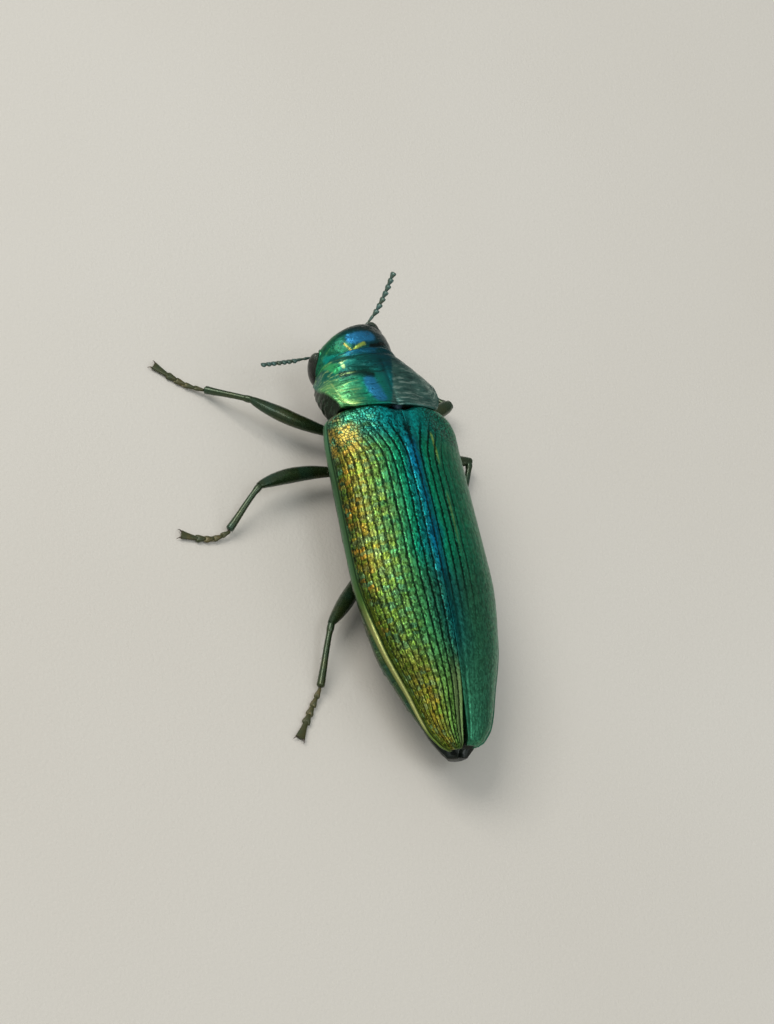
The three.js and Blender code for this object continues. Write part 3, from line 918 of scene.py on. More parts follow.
@dataclass(frozen=True)
class PronotumFinish(Finish):
    """The collar shield: emerald, with a blue patch and a shaded right side."""

    marks: tuple[Mark, ...] = (
        Mark("#105878", (1.25, -2.5), (0.25, -2.5), 0.3, 0.8, 0.8),
        Mark("#90c870", (2.5, -0.5), (2.0, -0.25), 0.3, 0.8, 0.9),
        # A blue patch: partly the shield's own blue and partly a painted reflection of the sky.
        Mark("#2878a8", (1.0, -1.25), (0.75, -0.5), 0.4, 0.9, 0.6),
        Mark("#40b870", (2.0, -2.5), (2.0, -2.0), 0.25, 0.9, 0.6),
        # Painted highlight along the upper edge of the bright green swirl.
        Mark("#b8e090", (2.0, -2.5), (1.75, -2.0), 0.1, 0.8, 0.8),
        Mark("#0a4840", (2.0, -1.75), (1.0, -1.75), 0.35, 0.7, 0.9),
        # Painted shade: a dark line in the crease of the wavy fold.
        Mark("#04201c", (2.0, -1.75), (0.75, -1.5), 0.2, 0.95, 0.8),
        Mark("#b0d888", (2.5, -1.5), (2.5, -0.75), 0.1, 0.75, 0.9),
        Mark("#c8e490", (2.5, -0.25), (2.0, -0.25), 0.1, 0.8, 0.8),
    )

    def paint(self, hand: Wiring) -> tuple[object, object, object]:
        """Colour by place in the prothorax's own frame, drawn out in fine strokes across."""
        local = hand.note("local", vector=True)
        x, y, _ = hand.split(local)
        cloud = hand.noise(hand.vector("MULTIPLY", local, (0.9, 1.8, 0.9)), 1.0, 4.0)
        off = hand.minus(cloud, 0.5)
        fine = hand.noise(hand.vector("MULTIPLY", local, (1.2, 9.0, 2.0)), 1.0, 4.0, 0.6)
        sway = hand.times(hand.minus(fine, 0.5), 0.35)
        side = hand.plus(hand.times(x, 0.19), 0.5)
        side = hand.plus(side, hand.times(off, 0.12))
        colour = hand.ramp(side, ((0.5, "#10686c"), (0.75, "#189070"), (1.0, "#68b470")))
        front = hand.ramp(side, ((0.5, "#0a4850"), (1.0, "#127460")))
        colour = hand.blend(hand.band(y, -1.3, -1.9), colour, front)
        warped = hand.vector("ADD", local, hand.join(hand.times(off, 0.3), sway, 0.0))
        for mark in self.marks:
            colour = mark.lay(hand, colour, warped, PROTHORAX.height)
        border = hand.minus(x, hand.times(y, 0.48))
        border = hand.plus(border, hand.times(off, 0.15))
        shaded = hand.ramp(cloud, ((0.3, "#2e5650"), (0.5, "#426c64"), (0.7, "#567e74")))
        scratch = hand.band(fine, 0.54, 0.66, 0.0, 0.65)
        shaded = hand.blend(scratch, shaded, tint("#a4c0b4"))
        front_right = hand.times(hand.band(y, -1.6, -2.2), 0.6)
        shaded = hand.blend(front_right, shaded, tint("#0c3c44"))
        colour = hand.blend(hand.band(border, 0.5, 0.34), colour, shaded)
        # Painted highlight: pale streaks on the crests of the wrinkles over the lit left side.
        highlight_streaks = hand.times(hand.band(fine, 0.52, 0.66), hand.band(x, 1.3, 2.1))
        colour = hand.blend(hand.times(highlight_streaks, 0.6), colour, tint("#b4e08c"))
        shade = hand.times(hand.band(fine, 0.46, 0.32), 0.6)
        colour = hand.blend(shade, colour, tint("#0a3a34"))
        under = hand.minus(1.0, hand.note("roof"))
        flank = hand.blend(hand.band(fine, 0.5, 0.66), tint("#1a2a1a"), tint("#3a5440"))
        colour = hand.blend(under, colour, flank)
        drawn = hand.vector("MULTIPLY", local, (0.6, 1.3, 0.8))
        pit = EFFECTS.pitted(hand, drawn, 6.0, 0.24, 0.95)
        colour = hand.blend(hand.times(pit, 0.4), colour, tint("#08211c"), "MULTIPLY")
        grain = EFFECTS.grained(hand, local, 4.0)
        height = hand.plus(hand.times(fine, 1.6), hand.times(grain.outputs["Height"], 0.5))
        height = hand.minus(height, hand.times(pit, 0.5))
        return colour, height, grain.outputs["Mask"]


@dataclass(frozen=True)
class SkullSizes:
    """The skull in the head's own frame, in millimetres, for its shape and for its marks."""

    half: float = 1.92
    front: float = 0.86
    back: float = 2.2
    middle: float = 0.5
    top: float = 1.54
    chin: float = 1.7


SKULL = SkullSizes()


@dataclass(frozen=True)
class HeadFinish(Finish):
    """The head: teal, with a blue gleam by the right eye and yellow-green marks round it."""

    marks: tuple[Mark, ...] = (
        Mark("#1c8048", (1.25, 0.0), (0.5, 0.0), 0.4, 0.7, 0.9),
        Mark("#0ca090", (1.5, 0.75), (1.0, 1.25), 0.35, 0.95, 0.7),
        Mark("#104868", (0.5, 1.75), (-0.75, 1.75), 0.3, 0.85, 0.8),
        Mark("#908838", (0.5, 0.75), (0.5, 1.25), 0.1, 0.8, 0.9),
        Mark("#908838", (0.5, 1.25), (0.0, 1.5), 0.1, 0.8, 0.9),
        Mark("#a0b850", (0.25, 1.25), (-0.25, 1.25), 0.15, 0.9, 0.9),
        # Painted reflection of the sky: a blue oval by the right eye.
        Mark("#2c80b0", (0.0, 0.75), (-0.75, 1.0), 0.4, 1.0, 0.5),
        # Painted shade: a dark band at the back of the head on the right, where it meets the collar
        # shield.
        Mark("#04140f", (-0.5, 1.5), (-1.25, 1.5), 0.15, 0.95, 0.6),
    )

    def crown(self, x: float, y: float) -> float:
        """Height of the head over a place, as on a plain half of an egg."""
        reach = SKULL.back if y > SKULL.middle else SKULL.front
        inside = 1.0 - (x / SKULL.half) ** 2 - ((y - SKULL.middle) / reach) ** 2
        return SKULL.top * math.sqrt(max(0.0, inside))

    def paint(self, hand: Wiring) -> tuple[object, object, object]:
        """Colour by place in the head's own frame."""
        local = hand.note("local", vector=True)
        x, y, z = hand.split(local)
        cloud = hand.noise(local, 1.1, 4.0)
        off = hand.minus(cloud, 0.5)
        side = hand.plus(hand.times(x, 0.25), 0.5)
        side = hand.plus(side, hand.times(off, 0.2))
        colour = hand.ramp(side, (
            (0.0, "#0c2420"), (0.4, "#0a4a50"), (0.7, "#105c40"), (1.0, "#1c7858"),
        ))
        streak = hand.noise(hand.vector("MULTIPLY", local, (1.4, 5.0, 4.0)), 1.0, 4.0, 0.6)
        # Painted highlight: the crests of the raised streaks paler green towards the lit left.
        bright = hand.times(hand.band(streak, 0.55, 0.7, 0.0, 0.45), hand.band(x, -0.4, 0.8))
        colour = hand.blend(bright, colour, tint("#6cc070"))
        rim = hand.band(hand.plus(y, hand.times(x, 0.5)), 0.35, 0.0, 0.0, 0.85)
        rim = hand.times(rim, hand.band(x, 0.7, 0.2))
        colour = hand.blend(rim, colour, tint("#2c3a36"))
        sway = hand.times(hand.minus(streak, 0.5), 0.3)
        warped = hand.vector("ADD", local, hand.join(hand.times(off, 0.3), sway, 0.0))
        for mark in self.marks:
            colour = mark.lay(hand, colour, warped, self.crown)
        lower = hand.band(z, -0.2, -1.0)
        colour = hand.blend(lower, colour, tint("#3a5226"))
        shade = hand.times(hand.band(streak, 0.47, 0.34), 0.5)
        colour = hand.blend(shade, colour, tint("#0a3034"))
        pit = EFFECTS.pitted(hand, local, 6.5, 0.22)
        colour = hand.blend(hand.times(pit, 0.35), colour, tint("#0a2420"), "MULTIPLY")
        grain = EFFECTS.grained(hand, local, 4.0)
        height = hand.minus(hand.plus(grain.outputs["Height"], streak), hand.times(pit, 0.6))
        return colour, height, grain.outputs["Mask"]


@dataclass(frozen=True)
class ShellFinish(Finish):
    """A plain hard part: one metal colour with clouds of two more, punctured and grained."""

    base: str = "#20301c"
    warm: str = "#5a4a20"
    cool: str = "#16403a"
    amount: float = 0.6
    patches: float = 1.2
    pits: float = 6.0
    pit_size: float = 0.26
    pit_depth: float = 0.8
    stretch: tuple[float, float, float] = (1.0, 1.0, 1.0)
    shaded: bool = False

    def paint(self, hand: Wiring) -> tuple[object, object, object]:
        """Film colours, darker in the punctures and where the mesh's "shade" says so."""
        place = hand.millimetres()
        film = SharedEffects.use(hand, EFFECTS.film, {
            "Place": place, "Scale": self.patches, "Base": tint(self.base),
            "Warm": tint(self.warm), "Cool": tint(self.cool), "Amount": self.amount,
        })
        drawn = hand.vector("MULTIPLY", place, self.stretch)
        pit = EFFECTS.pitted(hand, drawn, self.pits, self.pit_size)
        grain = EFFECTS.grained(hand, place, 8.0)
        dark = hand.times(pit, 0.5)
        colour = film.outputs["Color"]
        if self.shaded:
            colour = hand.blend(hand.note("shade"), colour, tint("#0b100a"))
        colour = hand.blend(dark, colour, tint("#0c120a"), "MULTIPLY")
        deep = hand.times(pit, self.pit_depth)
        height = hand.minus(grain.outputs["Height"], deep)
        return colour, height, grain.outputs["Mask"]


@dataclass(frozen=True)
class EyeFinish(Finish):
    """A compound eye: dark, with fine facets and a greener bloom towards its rim."""

    facets: float = 26.0

    def paint(self, hand: Wiring) -> tuple[object, object, object]:
        """Facets as close cells, and colour by height up the eye."""
        place = hand.millimetres()
        rim = hand.note("rim")
        cell = hand.cells(place, self.facets, 0.25)
        cloud = hand.noise(place, 1.5, 3.0)
        colour = hand.ramp(hand.plus(rim, hand.times(cloud, 0.3)), (
            (0.1, "#0c120a"), (0.45, "#121b10"), (0.7, "#1a2a18"), (1.0, "#263a26"),
        ))
        edge = hand.band(cell.outputs["Distance"], 0.25, 0.6)
        colour = hand.blend(hand.times(edge, 0.4), colour, tint("#0c0a08"))
        return colour, hand.minus(1.0, edge), cloud


@dataclass(frozen=True)
class FloorFinish(Finish):
    """The plain pale floor."""

    def paint(self, hand: Wiring) -> tuple[object, object, object]:
        """A barely uneven warm white."""
        place = hand.millimetres()
        cloud = hand.noise(place, 0.02, 3.0)
        colour = hand.blend(hand.band(cloud, 0.3, 0.7), tint("#d5cfc6"), tint("#dad5cd"))
        return colour, hand.noise(place, 6.0, 2.0), cloud


# The tints of the wing cases, from the suture's blue, partly its own colour and partly a painted
# reflection of the sky, over green and gold to the margin's grey-green.
BLUE = "#107898"
PEACOCK = "#0c5858"
TURQUOISE = "#10a0a0"
SEA_GREEN = "#189870"
MINT = "#50b088"
LEAF = "#408850"
MOSS = "#587c38"
OLIVE = "#707c30"
GOLD = "#9c8c30"
BOTTLE = "#385828"
MARGIN = "#588460"
TAIL_MARGIN = "#607c40"
LAUREL = "#387c5c"
SHADE_MARGIN = "#448468"

# Lit and shaded copies of one finish: the left case is painted brighter as the lit side, the right
# darker and plainer as painted shade.
LIT_LEFT_CASE = WingCaseFinish(
    name="wing case, lit side", slot="wing_case", metallic=1.0, rough=(0.3, 0.5), coat=0.04,
    relief=0.01, outer_grooves=0.85, ridge=1.0,
    base=((0.0, PEACOCK), (0.2, TURQUOISE), (0.6, MINT), (1.0, MARGIN)),
    middle=((0.0, BLUE), (0.15, SEA_GREEN), (0.3, LEAF), (0.7, GOLD), (0.85, BOTTLE), (1.0, MARGIN)),
    rear=((0.0, PEACOCK), (0.25, LEAF), (0.75, OLIVE), (0.85, BOTTLE), (1.0, MOSS)),
    tip=((0.0, BOTTLE), (0.25, MOSS), (0.5, GOLD), (0.8, OLIVE), (1.0, TAIL_MARGIN)),
)
# Painted shade: the same pattern in darker greens, with little sparkle and no pale ridges, as the shaded
# side.
SHADED_RIGHT_CASE = WingCaseFinish(
    name="wing case, shaded side", slot="wing_case", metallic=1.0, rough=(0.3, 0.48), coat=0.04,
    relief=0.01, sparkle=0.12, outer_grooves=0.12, tail_grooves=0.15, line=0.8,
    base=((0.0, TURQUOISE), (0.6, SEA_GREEN), (1.0, SHADE_MARGIN)),
    middle=((0.0, BLUE), (0.1, SEA_GREEN), (0.6, LAUREL), (1.0, SHADE_MARGIN)),
    rear=((0.0, PEACOCK), (0.25, LAUREL), (1.0, SHADE_MARGIN)),
    tip=((0.0, LAUREL), (1.0, SHADE_MARGIN)),
)
PRONOTUM = PronotumFinish(
    name="collar shield", slot="pronotum", metallic=0.85, rough=(0.28, 0.46), coat=0.06,
    relief=0.014,
)
HEAD = HeadFinish(
    name="head shell", slot="head", metallic=0.85, rough=(0.24, 0.42), coat=0.08, relief=0.012
)
SCUTELLUM = ShellFinish(
    name="scutellum shell", slot="scutellum", metallic=0.5, rough=(0.5, 0.7), coat=0.0,
    base="#062430", warm="#083430", cool="#081c40", relief=0.01,
)
UNDERSIDE = ShellFinish(
    name="underside shell", slot="underbody", metallic=0.7, rough=(0.24, 0.42),
    base="#2f4a26", warm="#5a5426", cool="#1c5040", pits=5.0, relief=0.02, shaded=True,
)
LEG = ShellFinish(
    name="leg shell", slot="leg", metallic=0.6, rough=(0.2, 0.36), base="#2e4024",
    warm="#424620", cool="#2a4c3c", patches=0.9, pits=9.0, pit_size=0.22, pit_depth=0.5,
    relief=0.008, coat=0.4,
)
FOOT = ShellFinish(
    name="foot shell", slot="foot", metallic=0.3, rough=(0.35, 0.55), base="#454728",
    warm="#6a5c34", cool="#35462f", patches=2.0, pits=12.0, pit_size=0.2, relief=0.008, coat=0.1,
)
PAD = ShellFinish(
    name="foot pad", slot="foot", metallic=0.0, rough=(0.5, 0.7), base="#8d8460", warm="#a89468",
    cool="#6f6c4c", patches=4.0, pits=16.0, pit_size=0.3, relief=0.01, coat=0.0,
)
FEELER = ShellFinish(
    name="feeler shell", slot="antenna", metallic=0.45, rough=(0.3, 0.45), base="#48625a",
    warm="#5a5c40", cool="#547a7c", patches=2.5, pits=14.0, pit_size=0.3, relief=0.008, coat=0.15,
)
JAW = ShellFinish(
    name="jaw shell", slot="jaw", metallic=0.1, rough=(0.18, 0.3), base="#1a140e", warm="#2c1c10",
    cool="#10120e", patches=2.0, pits=5.0, pit_size=0.15, relief=0.006, coat=0.5,
)
CLAW = ShellFinish(
    name="claw shell", slot="foot", metallic=0.0, rough=(0.25, 0.4), base="#3a2412",
    warm="#5a3a1c", cool="#1c140c", patches=5.0, pits=6.0, pit_size=0.12, relief=0.004, coat=0.4,
)
EYE = EyeFinish(name="eye facets", slot="eye", metallic=0.0, rough=(0.16, 0.3), coat=0.2, relief=0.006)
BRISTLE = ShellFinish(
    name="bristle", slot="underbody", metallic=0.0, rough=(0.4, 0.6), base="#b8b49c",
    warm="#c8bc98", cool="#989c88", patches=3.0, pits=4.0, relief=0.0005, coat=0.0,
)
DARK_BRISTLE = ShellFinish(
    name="dark bristle", slot="leg", metallic=0.0, rough=(0.4, 0.6), base="#2c2a1c",
    warm="#3c3420", cool="#20281e", patches=3.0, pits=4.0, relief=0.0005, coat=0.0,
)
FLOOR = FloorFinish(name="floor", slot="", metallic=0.0, rough=(0.8, 0.9), coat=0.0, relief=0.02)


# ---- geometry trees -------------------------------------------------------------------------
class GeometryTrees:
    """The Geometry Nodes trees that engrave, repeat and scatter."""

    def __init__(self) -> None:
        """Builds each tree once."""
        self.engrave = self._engrave()
        self.pock = self._pock()
        self.chain = self._chain()
        self.bristles = self._bristles()

    @staticmethod
    def _start(name: str, own: Sequence[tuple[str, str, object]]) -> Group:
        """Starts a tree that takes a piece and a material besides its own inputs."""
        inputs = [("Geometry", "Geometry", None), *own, ("Material", "Material", None)]
        return make_group(name, "GeometryNodeTree", inputs, [("Geometry", "Geometry")])

    @staticmethod
    def _finish(hand: Wiring, geometry: object, material: object, end: Node) -> None:
        """Ends a tree with Realize Instances and Set Material."""
        real = hand.put("GeometryNodeRealizeInstances", {"Geometry": geometry})
        given = {"Geometry": real.outputs[0], "Material": material}
        dressed = hand.put("GeometryNodeSetMaterial", given)
        hand.feed(end.inputs["Geometry"], dressed.outputs[0])

    @staticmethod
    def _lift(hand: Wiring, geometry: object, height: object) -> Socket:
        """Moves a surface along its normals by a height in millimetres."""
        normal = hand.add("GeometryNodeInputNormal")
        offset = hand.scale(normal.outputs[0], hand.times(height, MM))
        given = {"Geometry": geometry, "Offset": offset}
        return hand.put("GeometryNodeSetPosition", given).outputs[0]

    def _engrave(self) -> Tree:
        """Cuts a wing case's grooves, joints and fine unevenness."""
        tree, hand, given, end = self._start("Engrave wing case", [
            ("Groove Depth", "Float", 0.05), ("Outer Grooves", "Float", 0.8),
            ("Tail Grooves", "Float", 1.0), ("Joint Depth", "Float", 0.02),
            ("Unevenness", "Float", 0.02),
        ])
        across = hand.kept("across")
        place = hand.scale(hand.add("GeometryNodeInputPosition").outputs[0], 1 / MM)
        lines = BRICKS.lines(hand, hand.kept("lattice", vector=True), place, across)
        strength = BRICKS.strength(
            hand, across, hand.kept("along"), given["Outer Grooves"], given["Tail Grooves"]
        )
        groove = hand.band(lines["groove"], 0.0, 0.22, given["Groove Depth"], 0.0)
        joint = hand.band(lines["joint"], 0.0, 0.22, given["Joint Depth"], 0.0)
        joint = hand.times(joint, hand.band(across, 0.2, 0.45))
        depth = hand.times(hand.plus(groove, joint), strength)
        rough = hand.minus(hand.noise(place, 5.0, 3.0, 0.6), 0.5)
        rough = hand.times(rough, given["Unevenness"])
        rough = hand.times(rough, hand.band(across, 0.9, 0.87, 0.25, 1.0))
        height = hand.times(hand.minus(rough, depth), hand.kept("face"))
        self._finish(hand, self._lift(hand, given["Geometry"], height), given["Material"], end)
        return tree

    def _pock(self) -> Tree:
        """Presses punctures and wrinkles into a shell."""
        tree, hand, given, end = self._start("Pock shell", [
            ("Per Millimetre", "Float", 5.0), ("Pit Depth", "Float", 0.02),
            ("Wrinkle Depth", "Float", 0.02), ("Wrinkle Stretch", "Vector", (1.0, 4.0, 1.0)),
        ])
        place = hand.scale(hand.add("GeometryNodeInputPosition").outputs[0], 1 / MM)
        cell = hand.cells(place, given["Per Millimetre"], 0.9)
        pit = hand.band(cell.outputs["Distance"], 0.1, 0.4, 1.0, 0.0)
        wave = hand.noise(hand.vector("MULTIPLY", place, given["Wrinkle Stretch"]), 1.0, 3.0)
        wave = hand.times(hand.minus(wave, 0.5), given["Wrinkle Depth"])
        height = hand.minus(wave, hand.times(pit, given["Pit Depth"]))
        self._finish(hand, self._lift(hand, given["Geometry"], height), given["Material"], end)
        return tree

    def _chain(self) -> Tree:
        """Strings copies of one joint along a path, each turned to follow it."""
        tree, hand, given, end = self._start("Chain of joints", [
            ("Joint", "Object", None), ("Count", "Int", 5), ("Length", "Float", 1.0),
            ("First Girth", "Float", 1.0), ("Last Girth", "Float", 1.0),
            ("Top", "Vector", (0.0, 0.0, 1.0)),
        ])
        path = hand.put("GeometryNodeMeshToCurve", {"Mesh": given["Geometry"]})
        even = hand.put("GeometryNodeResampleCurve", {
            "Curve": path.outputs[0], "Count": given["Count"],
        })
        ahead = hand.add("GeometryNodeInputTangent")
        aim = hand.put("FunctionNodeAxesToRotation", {
            "Primary Axis": ahead.outputs[0], "Secondary Axis": given["Top"],
        }, primary_axis="X", secondary_axis="Z")
        number = hand.add("GeometryNodeInputIndex")
        share = hand.math("DIVIDE", number.outputs[0], hand.minus(given["Count"], 1.0))
        wider = hand.minus(given["Last Girth"], given["First Girth"])
        girth = hand.plus(given["First Girth"], hand.times(wider, share))
        joint = hand.put("GeometryNodeObjectInfo", {"Object": given["Joint"]})
        copies = hand.put("GeometryNodeInstanceOnPoints", {
            "Points": even.outputs[0], "Instance": joint.outputs["Geometry"],
            "Rotation": aim.outputs[0], "Scale": hand.join(given["Length"], girth, girth),
        })
        self._finish(hand, copies.outputs[0], given["Material"], end)
        return tree

    def _bristles(self) -> Tree:
        """Scatters short tapered bristles where a surface's "hairy" value asks for them."""
        tree, hand, given, end = self._start("Scatter bristles", [
            ("Per Square Millimetre", "Float", 20.0), ("Length", "Float", 0.25),
            ("Thickness", "Float", 0.012), ("Lean", "Vector", (0.0, 1.0, 0.0)), ("Seed", "Int", 1),
        ])
        spread = hand.add("GeometryNodeDistributePointsOnFaces", distribute_method="RANDOM")
        hand.feed(spread.inputs["Mesh"], given["Geometry"])
        density = hand.times(given["Per Square Millimetre"], 1 / MM ** 2)
        density = hand.times(density, hand.kept("hairy"))
        hand.feed(named(spread.inputs, "Density"), density)
        hand.feed(spread.inputs["Seed"], given["Seed"])
        bent = hand.add("FunctionNodeRandomValue", data_type="FLOAT_VECTOR")
        bent.inputs[0].default_value = (-0.35, -0.35, -0.35)
        bent.inputs[1].default_value = (0.35, 0.35, 0.35)
        hand.feed(bent.inputs["Seed"], given["Seed"])
        aim = hand.vector("ADD", spread.outputs["Normal"], given["Lean"])
        aim = hand.vector("ADD", aim, bent.outputs[0])
        turn = hand.put("FunctionNodeAlignRotationToVector", {"Vector": aim}, axis="Z")
        hair = hand.put("GeometryNodeMeshCone", {
            "Vertices": 4, "Side Segments": 2, "Depth": 1.0 * MM,
            "Radius Top": 0.1 * MM, "Radius Bottom": 1.0 * MM,
        })
        size = hand.put("FunctionNodeRandomValue", {
            "Min": 0.6, "Max": 1.2, "Seed": given["Seed"],
        }, data_type="FLOAT")
        length = hand.times(given["Length"], named(size.outputs, "Value"))
        copies = hand.put("GeometryNodeInstanceOnPoints", {
            "Points": spread.outputs["Points"], "Instance": hair.outputs["Mesh"],
            "Rotation": turn.outputs[0],
            "Scale": hand.join(given["Thickness"], given["Thickness"], length),
        })
        self._finish(hand, copies.outputs[0], given["Material"], end)
        return tree


TREES = GeometryTrees()


def grow(piece: Piece, tree: Tree, values: dict[str, object]) -> None:
    """Runs a geometry tree on a piece and keeps the result as its plain mesh.

    Args:
        piece: the object that the tree starts from.
        tree: the tree.
        values: the tree's inputs by name.
    """
    modifier = piece.modifiers.new(tree.name, "NODES")
    modifier.node_group = tree
    for item in tree.interface.items_tree:
        if item.item_type == "SOCKET" and item.in_out == "INPUT" and item.name in values:
            modifier[item.identifier] = values[item.name]
    graph = bpy.context.evaluated_depsgraph_get()
    grown = bpy.data.meshes.new_from_object(
        piece.evaluated_get(graph), preserve_all_data_layers=True, depsgraph=graph
    )
    piece.modifiers.remove(modifier)
    plain, piece.data = piece.data, grown
    bpy.data.meshes.remove(plain)
    grown.shade_smooth()


def pock(
    piece: Piece, finish: Finish, density: float, pit: float, wrinkle: float,
    stretch: tuple[float, float, float],
) -> None:
    """Presses punctures and wrinkles into a piece, with depths in millimetres."""
    grow(piece, TREES.pock, {
        "Per Millimetre": density, "Pit Depth": pit, "Wrinkle Depth": wrinkle,
        "Wrinkle Stretch": stretch, "Material": finish.material(),
    })


def dress(piece: Piece, finish: Finish, *nodes: str) -> Piece:
    """Gives a piece its finish, its body and the solids that it stands for."""
    if not piece.data.materials:
        piece.data.materials.append(finish.material())
    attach(piece, BODY)
    if nodes:
        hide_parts(*nodes)
    LOG.info("%s: %d faces", piece.name, len(piece.data.polygons))
    return piece


def outward(points: Array) -> Array:
    """Unit normals (rings, sides, 3) of a closed skin of rings."""
    ahead = np.gradient(points, axis=0)
    around = np.roll(points, -1, axis=1) - np.roll(points, 1, axis=1)
    normal = np.cross(around, ahead)
    normal /= np.maximum(np.linalg.norm(normal, axis=-1, keepdims=True), 1e-9)
    from_axis = points - points.mean(1, keepdims=True)
    return normal if (normal * from_axis).sum() > 0 else -normal


def raised(points: Array, height: Array) -> Array:
    """A skin of rings moved outwards by a height in millimetres at each point."""
    return points + outward(points) * height[..., None]


def rolled_ends(points: Array, inset: float = 0.07, steps: int = 4) -> Array:
    """A skin of rings with each end rounded over towards its middle.

    Args:
        points: (rings, sides, 3).
        inset: radius of the rounding.
        steps: rings added at each end.

    Returns:
        (rings + 2 * steps, sides, 3).
    """
    out = []
    for end, inner in ((points[0], points[1]), (points[-1], points[-2])):
        past = (end - inner).mean(0)
        past /= np.linalg.norm(past)
        middle = end.mean(0)
        inwards = middle - end
        reach = np.maximum(np.linalg.norm(inwards, axis=1, keepdims=True), 1e-9)
        rings = []
        for step in range(1, steps + 1):
            turn = 0.5 * math.pi * step / steps
            rings.append(
                end + inwards / reach * inset * (1 - math.cos(turn)) + past * inset * math.sin(turn)
            )
        out.append(np.array(rings))
    return np.concatenate([out[0][::-1], points, out[1]])


def egg(
    centre: Sequence[float], radii: Sequence[float], rings: int = 48, sides: int = 64
) -> tuple[Array, Array]:
    """Rings of an ellipsoid from its front (-y) to its back.

    Args:
        centre: the middle.
        radii: half sizes along x, y and z.
        rings: rings from pole to pole.
        sides: vertices in a ring.

    Returns:
        (rings, sides, 3) points, and the same points on the unit sphere.
    """
    polar = np.linspace(0.02, math.pi - 0.02, rings)[:, None]
    angle = np.linspace(0, 2 * math.pi, sides, endpoint=False)
    unit = np.stack([
        np.sin(polar) * np.sin(angle), -np.cos(polar) + 0 * angle, np.sin(polar) * np.cos(angle)
    ], -1)
    return unit * np.array(radii) + np.array(centre), unit


def bead_string(
    name: str, path: Array, joint: Piece, count: int, girths: tuple[float, float],
    finish: Finish, overlap: float = 1.06, top: Sequence[float] = (0.0, 0.0, 1.0),
) -> Piece:
    """A row of equal joints along a path, strung by the chain tree.

    Args:
        name: the piece's name.
        path: (n, 3) points in millimetres from the first joint's start to the last one's end.
        joint: the joint, 1 m long on x and 1 m wide, which is scaled to size.
        count: how many joints.
        girths: width of the first and of the last joint in millimetres.
        finish: the finish of the joints.
        overlap: how far each joint reaches into the next, as a share of its length.
        top: the direction of each joint's top.

    Returns:
        The new piece.
    """
    length = np.linalg.norm(np.diff(path, axis=0), axis=1).sum() / count
    share = np.linspace(0.5 / count, 1 - 0.5 / count, 6 * count)
    centres = follow(path, share)[0]
    mesh = bpy.data.meshes.new(name)
    mesh.from_pydata((centres * MM).tolist(), [(i, i + 1) for i in range(len(centres) - 1)], [])
    piece = bpy.data.objects.new(name, mesh)
    bpy.context.scene.collection.objects.link(piece)
    grow(piece, TREES.chain, {
        "Joint": joint, "Count": count, "Length": length * overlap * MM,
        "First Girth": girths[0] * MM, "Last Girth": girths[1] * MM, "Top": top,
        "Material": finish.material(),
    })
    return piece


def joint_shape(
    name: str, widths: Curve, heights: Curve, sway: float = 0.0, cleft: float = 0.0,
    rings: int = 12, sides: int = 12,
) -> Piece:
    """One joint for the chain tree, 1 m long on x, kept out of the scene.

    Args:
        name: its name.
        widths: half width at shares of its length.
        heights: half height at shares of its length.
        sway: how far the widest part leans to one side, as a saw tooth does.
        cleft: how deeply its far end is notched between two lobes.
        rings: rings along it.
        sides: vertices in a ring.

    Returns:
        The joint's object.
    """
    share = 0.5 - 0.5 * np.cos(np.linspace(0.08, math.pi - 0.08, rings))
    angle = np.linspace(0, 2 * math.pi, sides, endpoint=False)
    wide, tall = widths(share)[:, None], heights(share)[:, None]
    y = wide * np.sin(angle) + sway * wide
    z = tall * np.cos(angle)
    notch = cleft * smooth(0.5, 1.0, share)[:, None] * (1 - smooth(0.0, 0.3, np.abs(y)))
    x = share[:, None] - 0.5 - notch
    piece = loft(name, np.stack([x, y, z], -1) / MM)
    bpy.context.scene.collection.objects.unlink(piece)
    return piece


# ---- wing cases -----------------------------------------------------------------------------
@dataclass(frozen=True)
class Back:
    """The arched surface of the closed wing cases, in the trunk's frame."""

    length: float = 16.2
    half_width: float = 3.44
    height: float = 2.16
    lobe: float = 0.33
    arch: float = 0.9
    widths: Curve = curve_through((
        (0, 0.83), (0.03, 0.93), (0.1, 0.97), (0.3, 0.985), (0.5, 1), (0.7, 0.863), (0.85, 0.64),
        (0.95, 0.46), (1, 0.26),
    ))
    domes: Curve = curve_through((
        (0, 0.86), (0.15, 1), (0.35, 1.04), (0.6, 0.95), (0.8, 0.72), (0.95, 0.38), (1, 0.24)
    ))
    margins: Curve = curve_through(((0, 0), (0.3, 0), (1, 0.47)))

    def point(
        self, share: Array, angle: Array, side: Array, inset: Array, spread: Array = 0.0,
        reach: float = 0.0,
    ) -> Array:
        """A point of the surface, or of one below it.

        Args:
            share: place along, 0 at the base and 1 at the tip.
            angle: 0 at the suture to pi / 2 at the side margin.
            side: 1 on the left and -1 on the right.
            inset: depth under the surface.
            spread: how far the inner edge stands off the middle.
            reach: how much the tip is drawn out.

        Returns:
            The point, in millimetres in the trunk's frame.
        """
        half = self.half_width * self.widths(share) - inset
        rise = self.height * self.domes(share) - inset
        out = np.sin(angle)
        lobe = self.lobe * smooth(0.05, 0.45, out)
        y = self.length * share - lobe * (1 - smooth(0, 0.12, share))
        y = y + reach * smooth(0.85, 1, share)
        z = self.margins(share) + rise * power(np.cos(angle), self.arch)
        return np.stack([side * (spread + (half - spread) * out), y + 0 * z, z], -1)


BACK = Back()


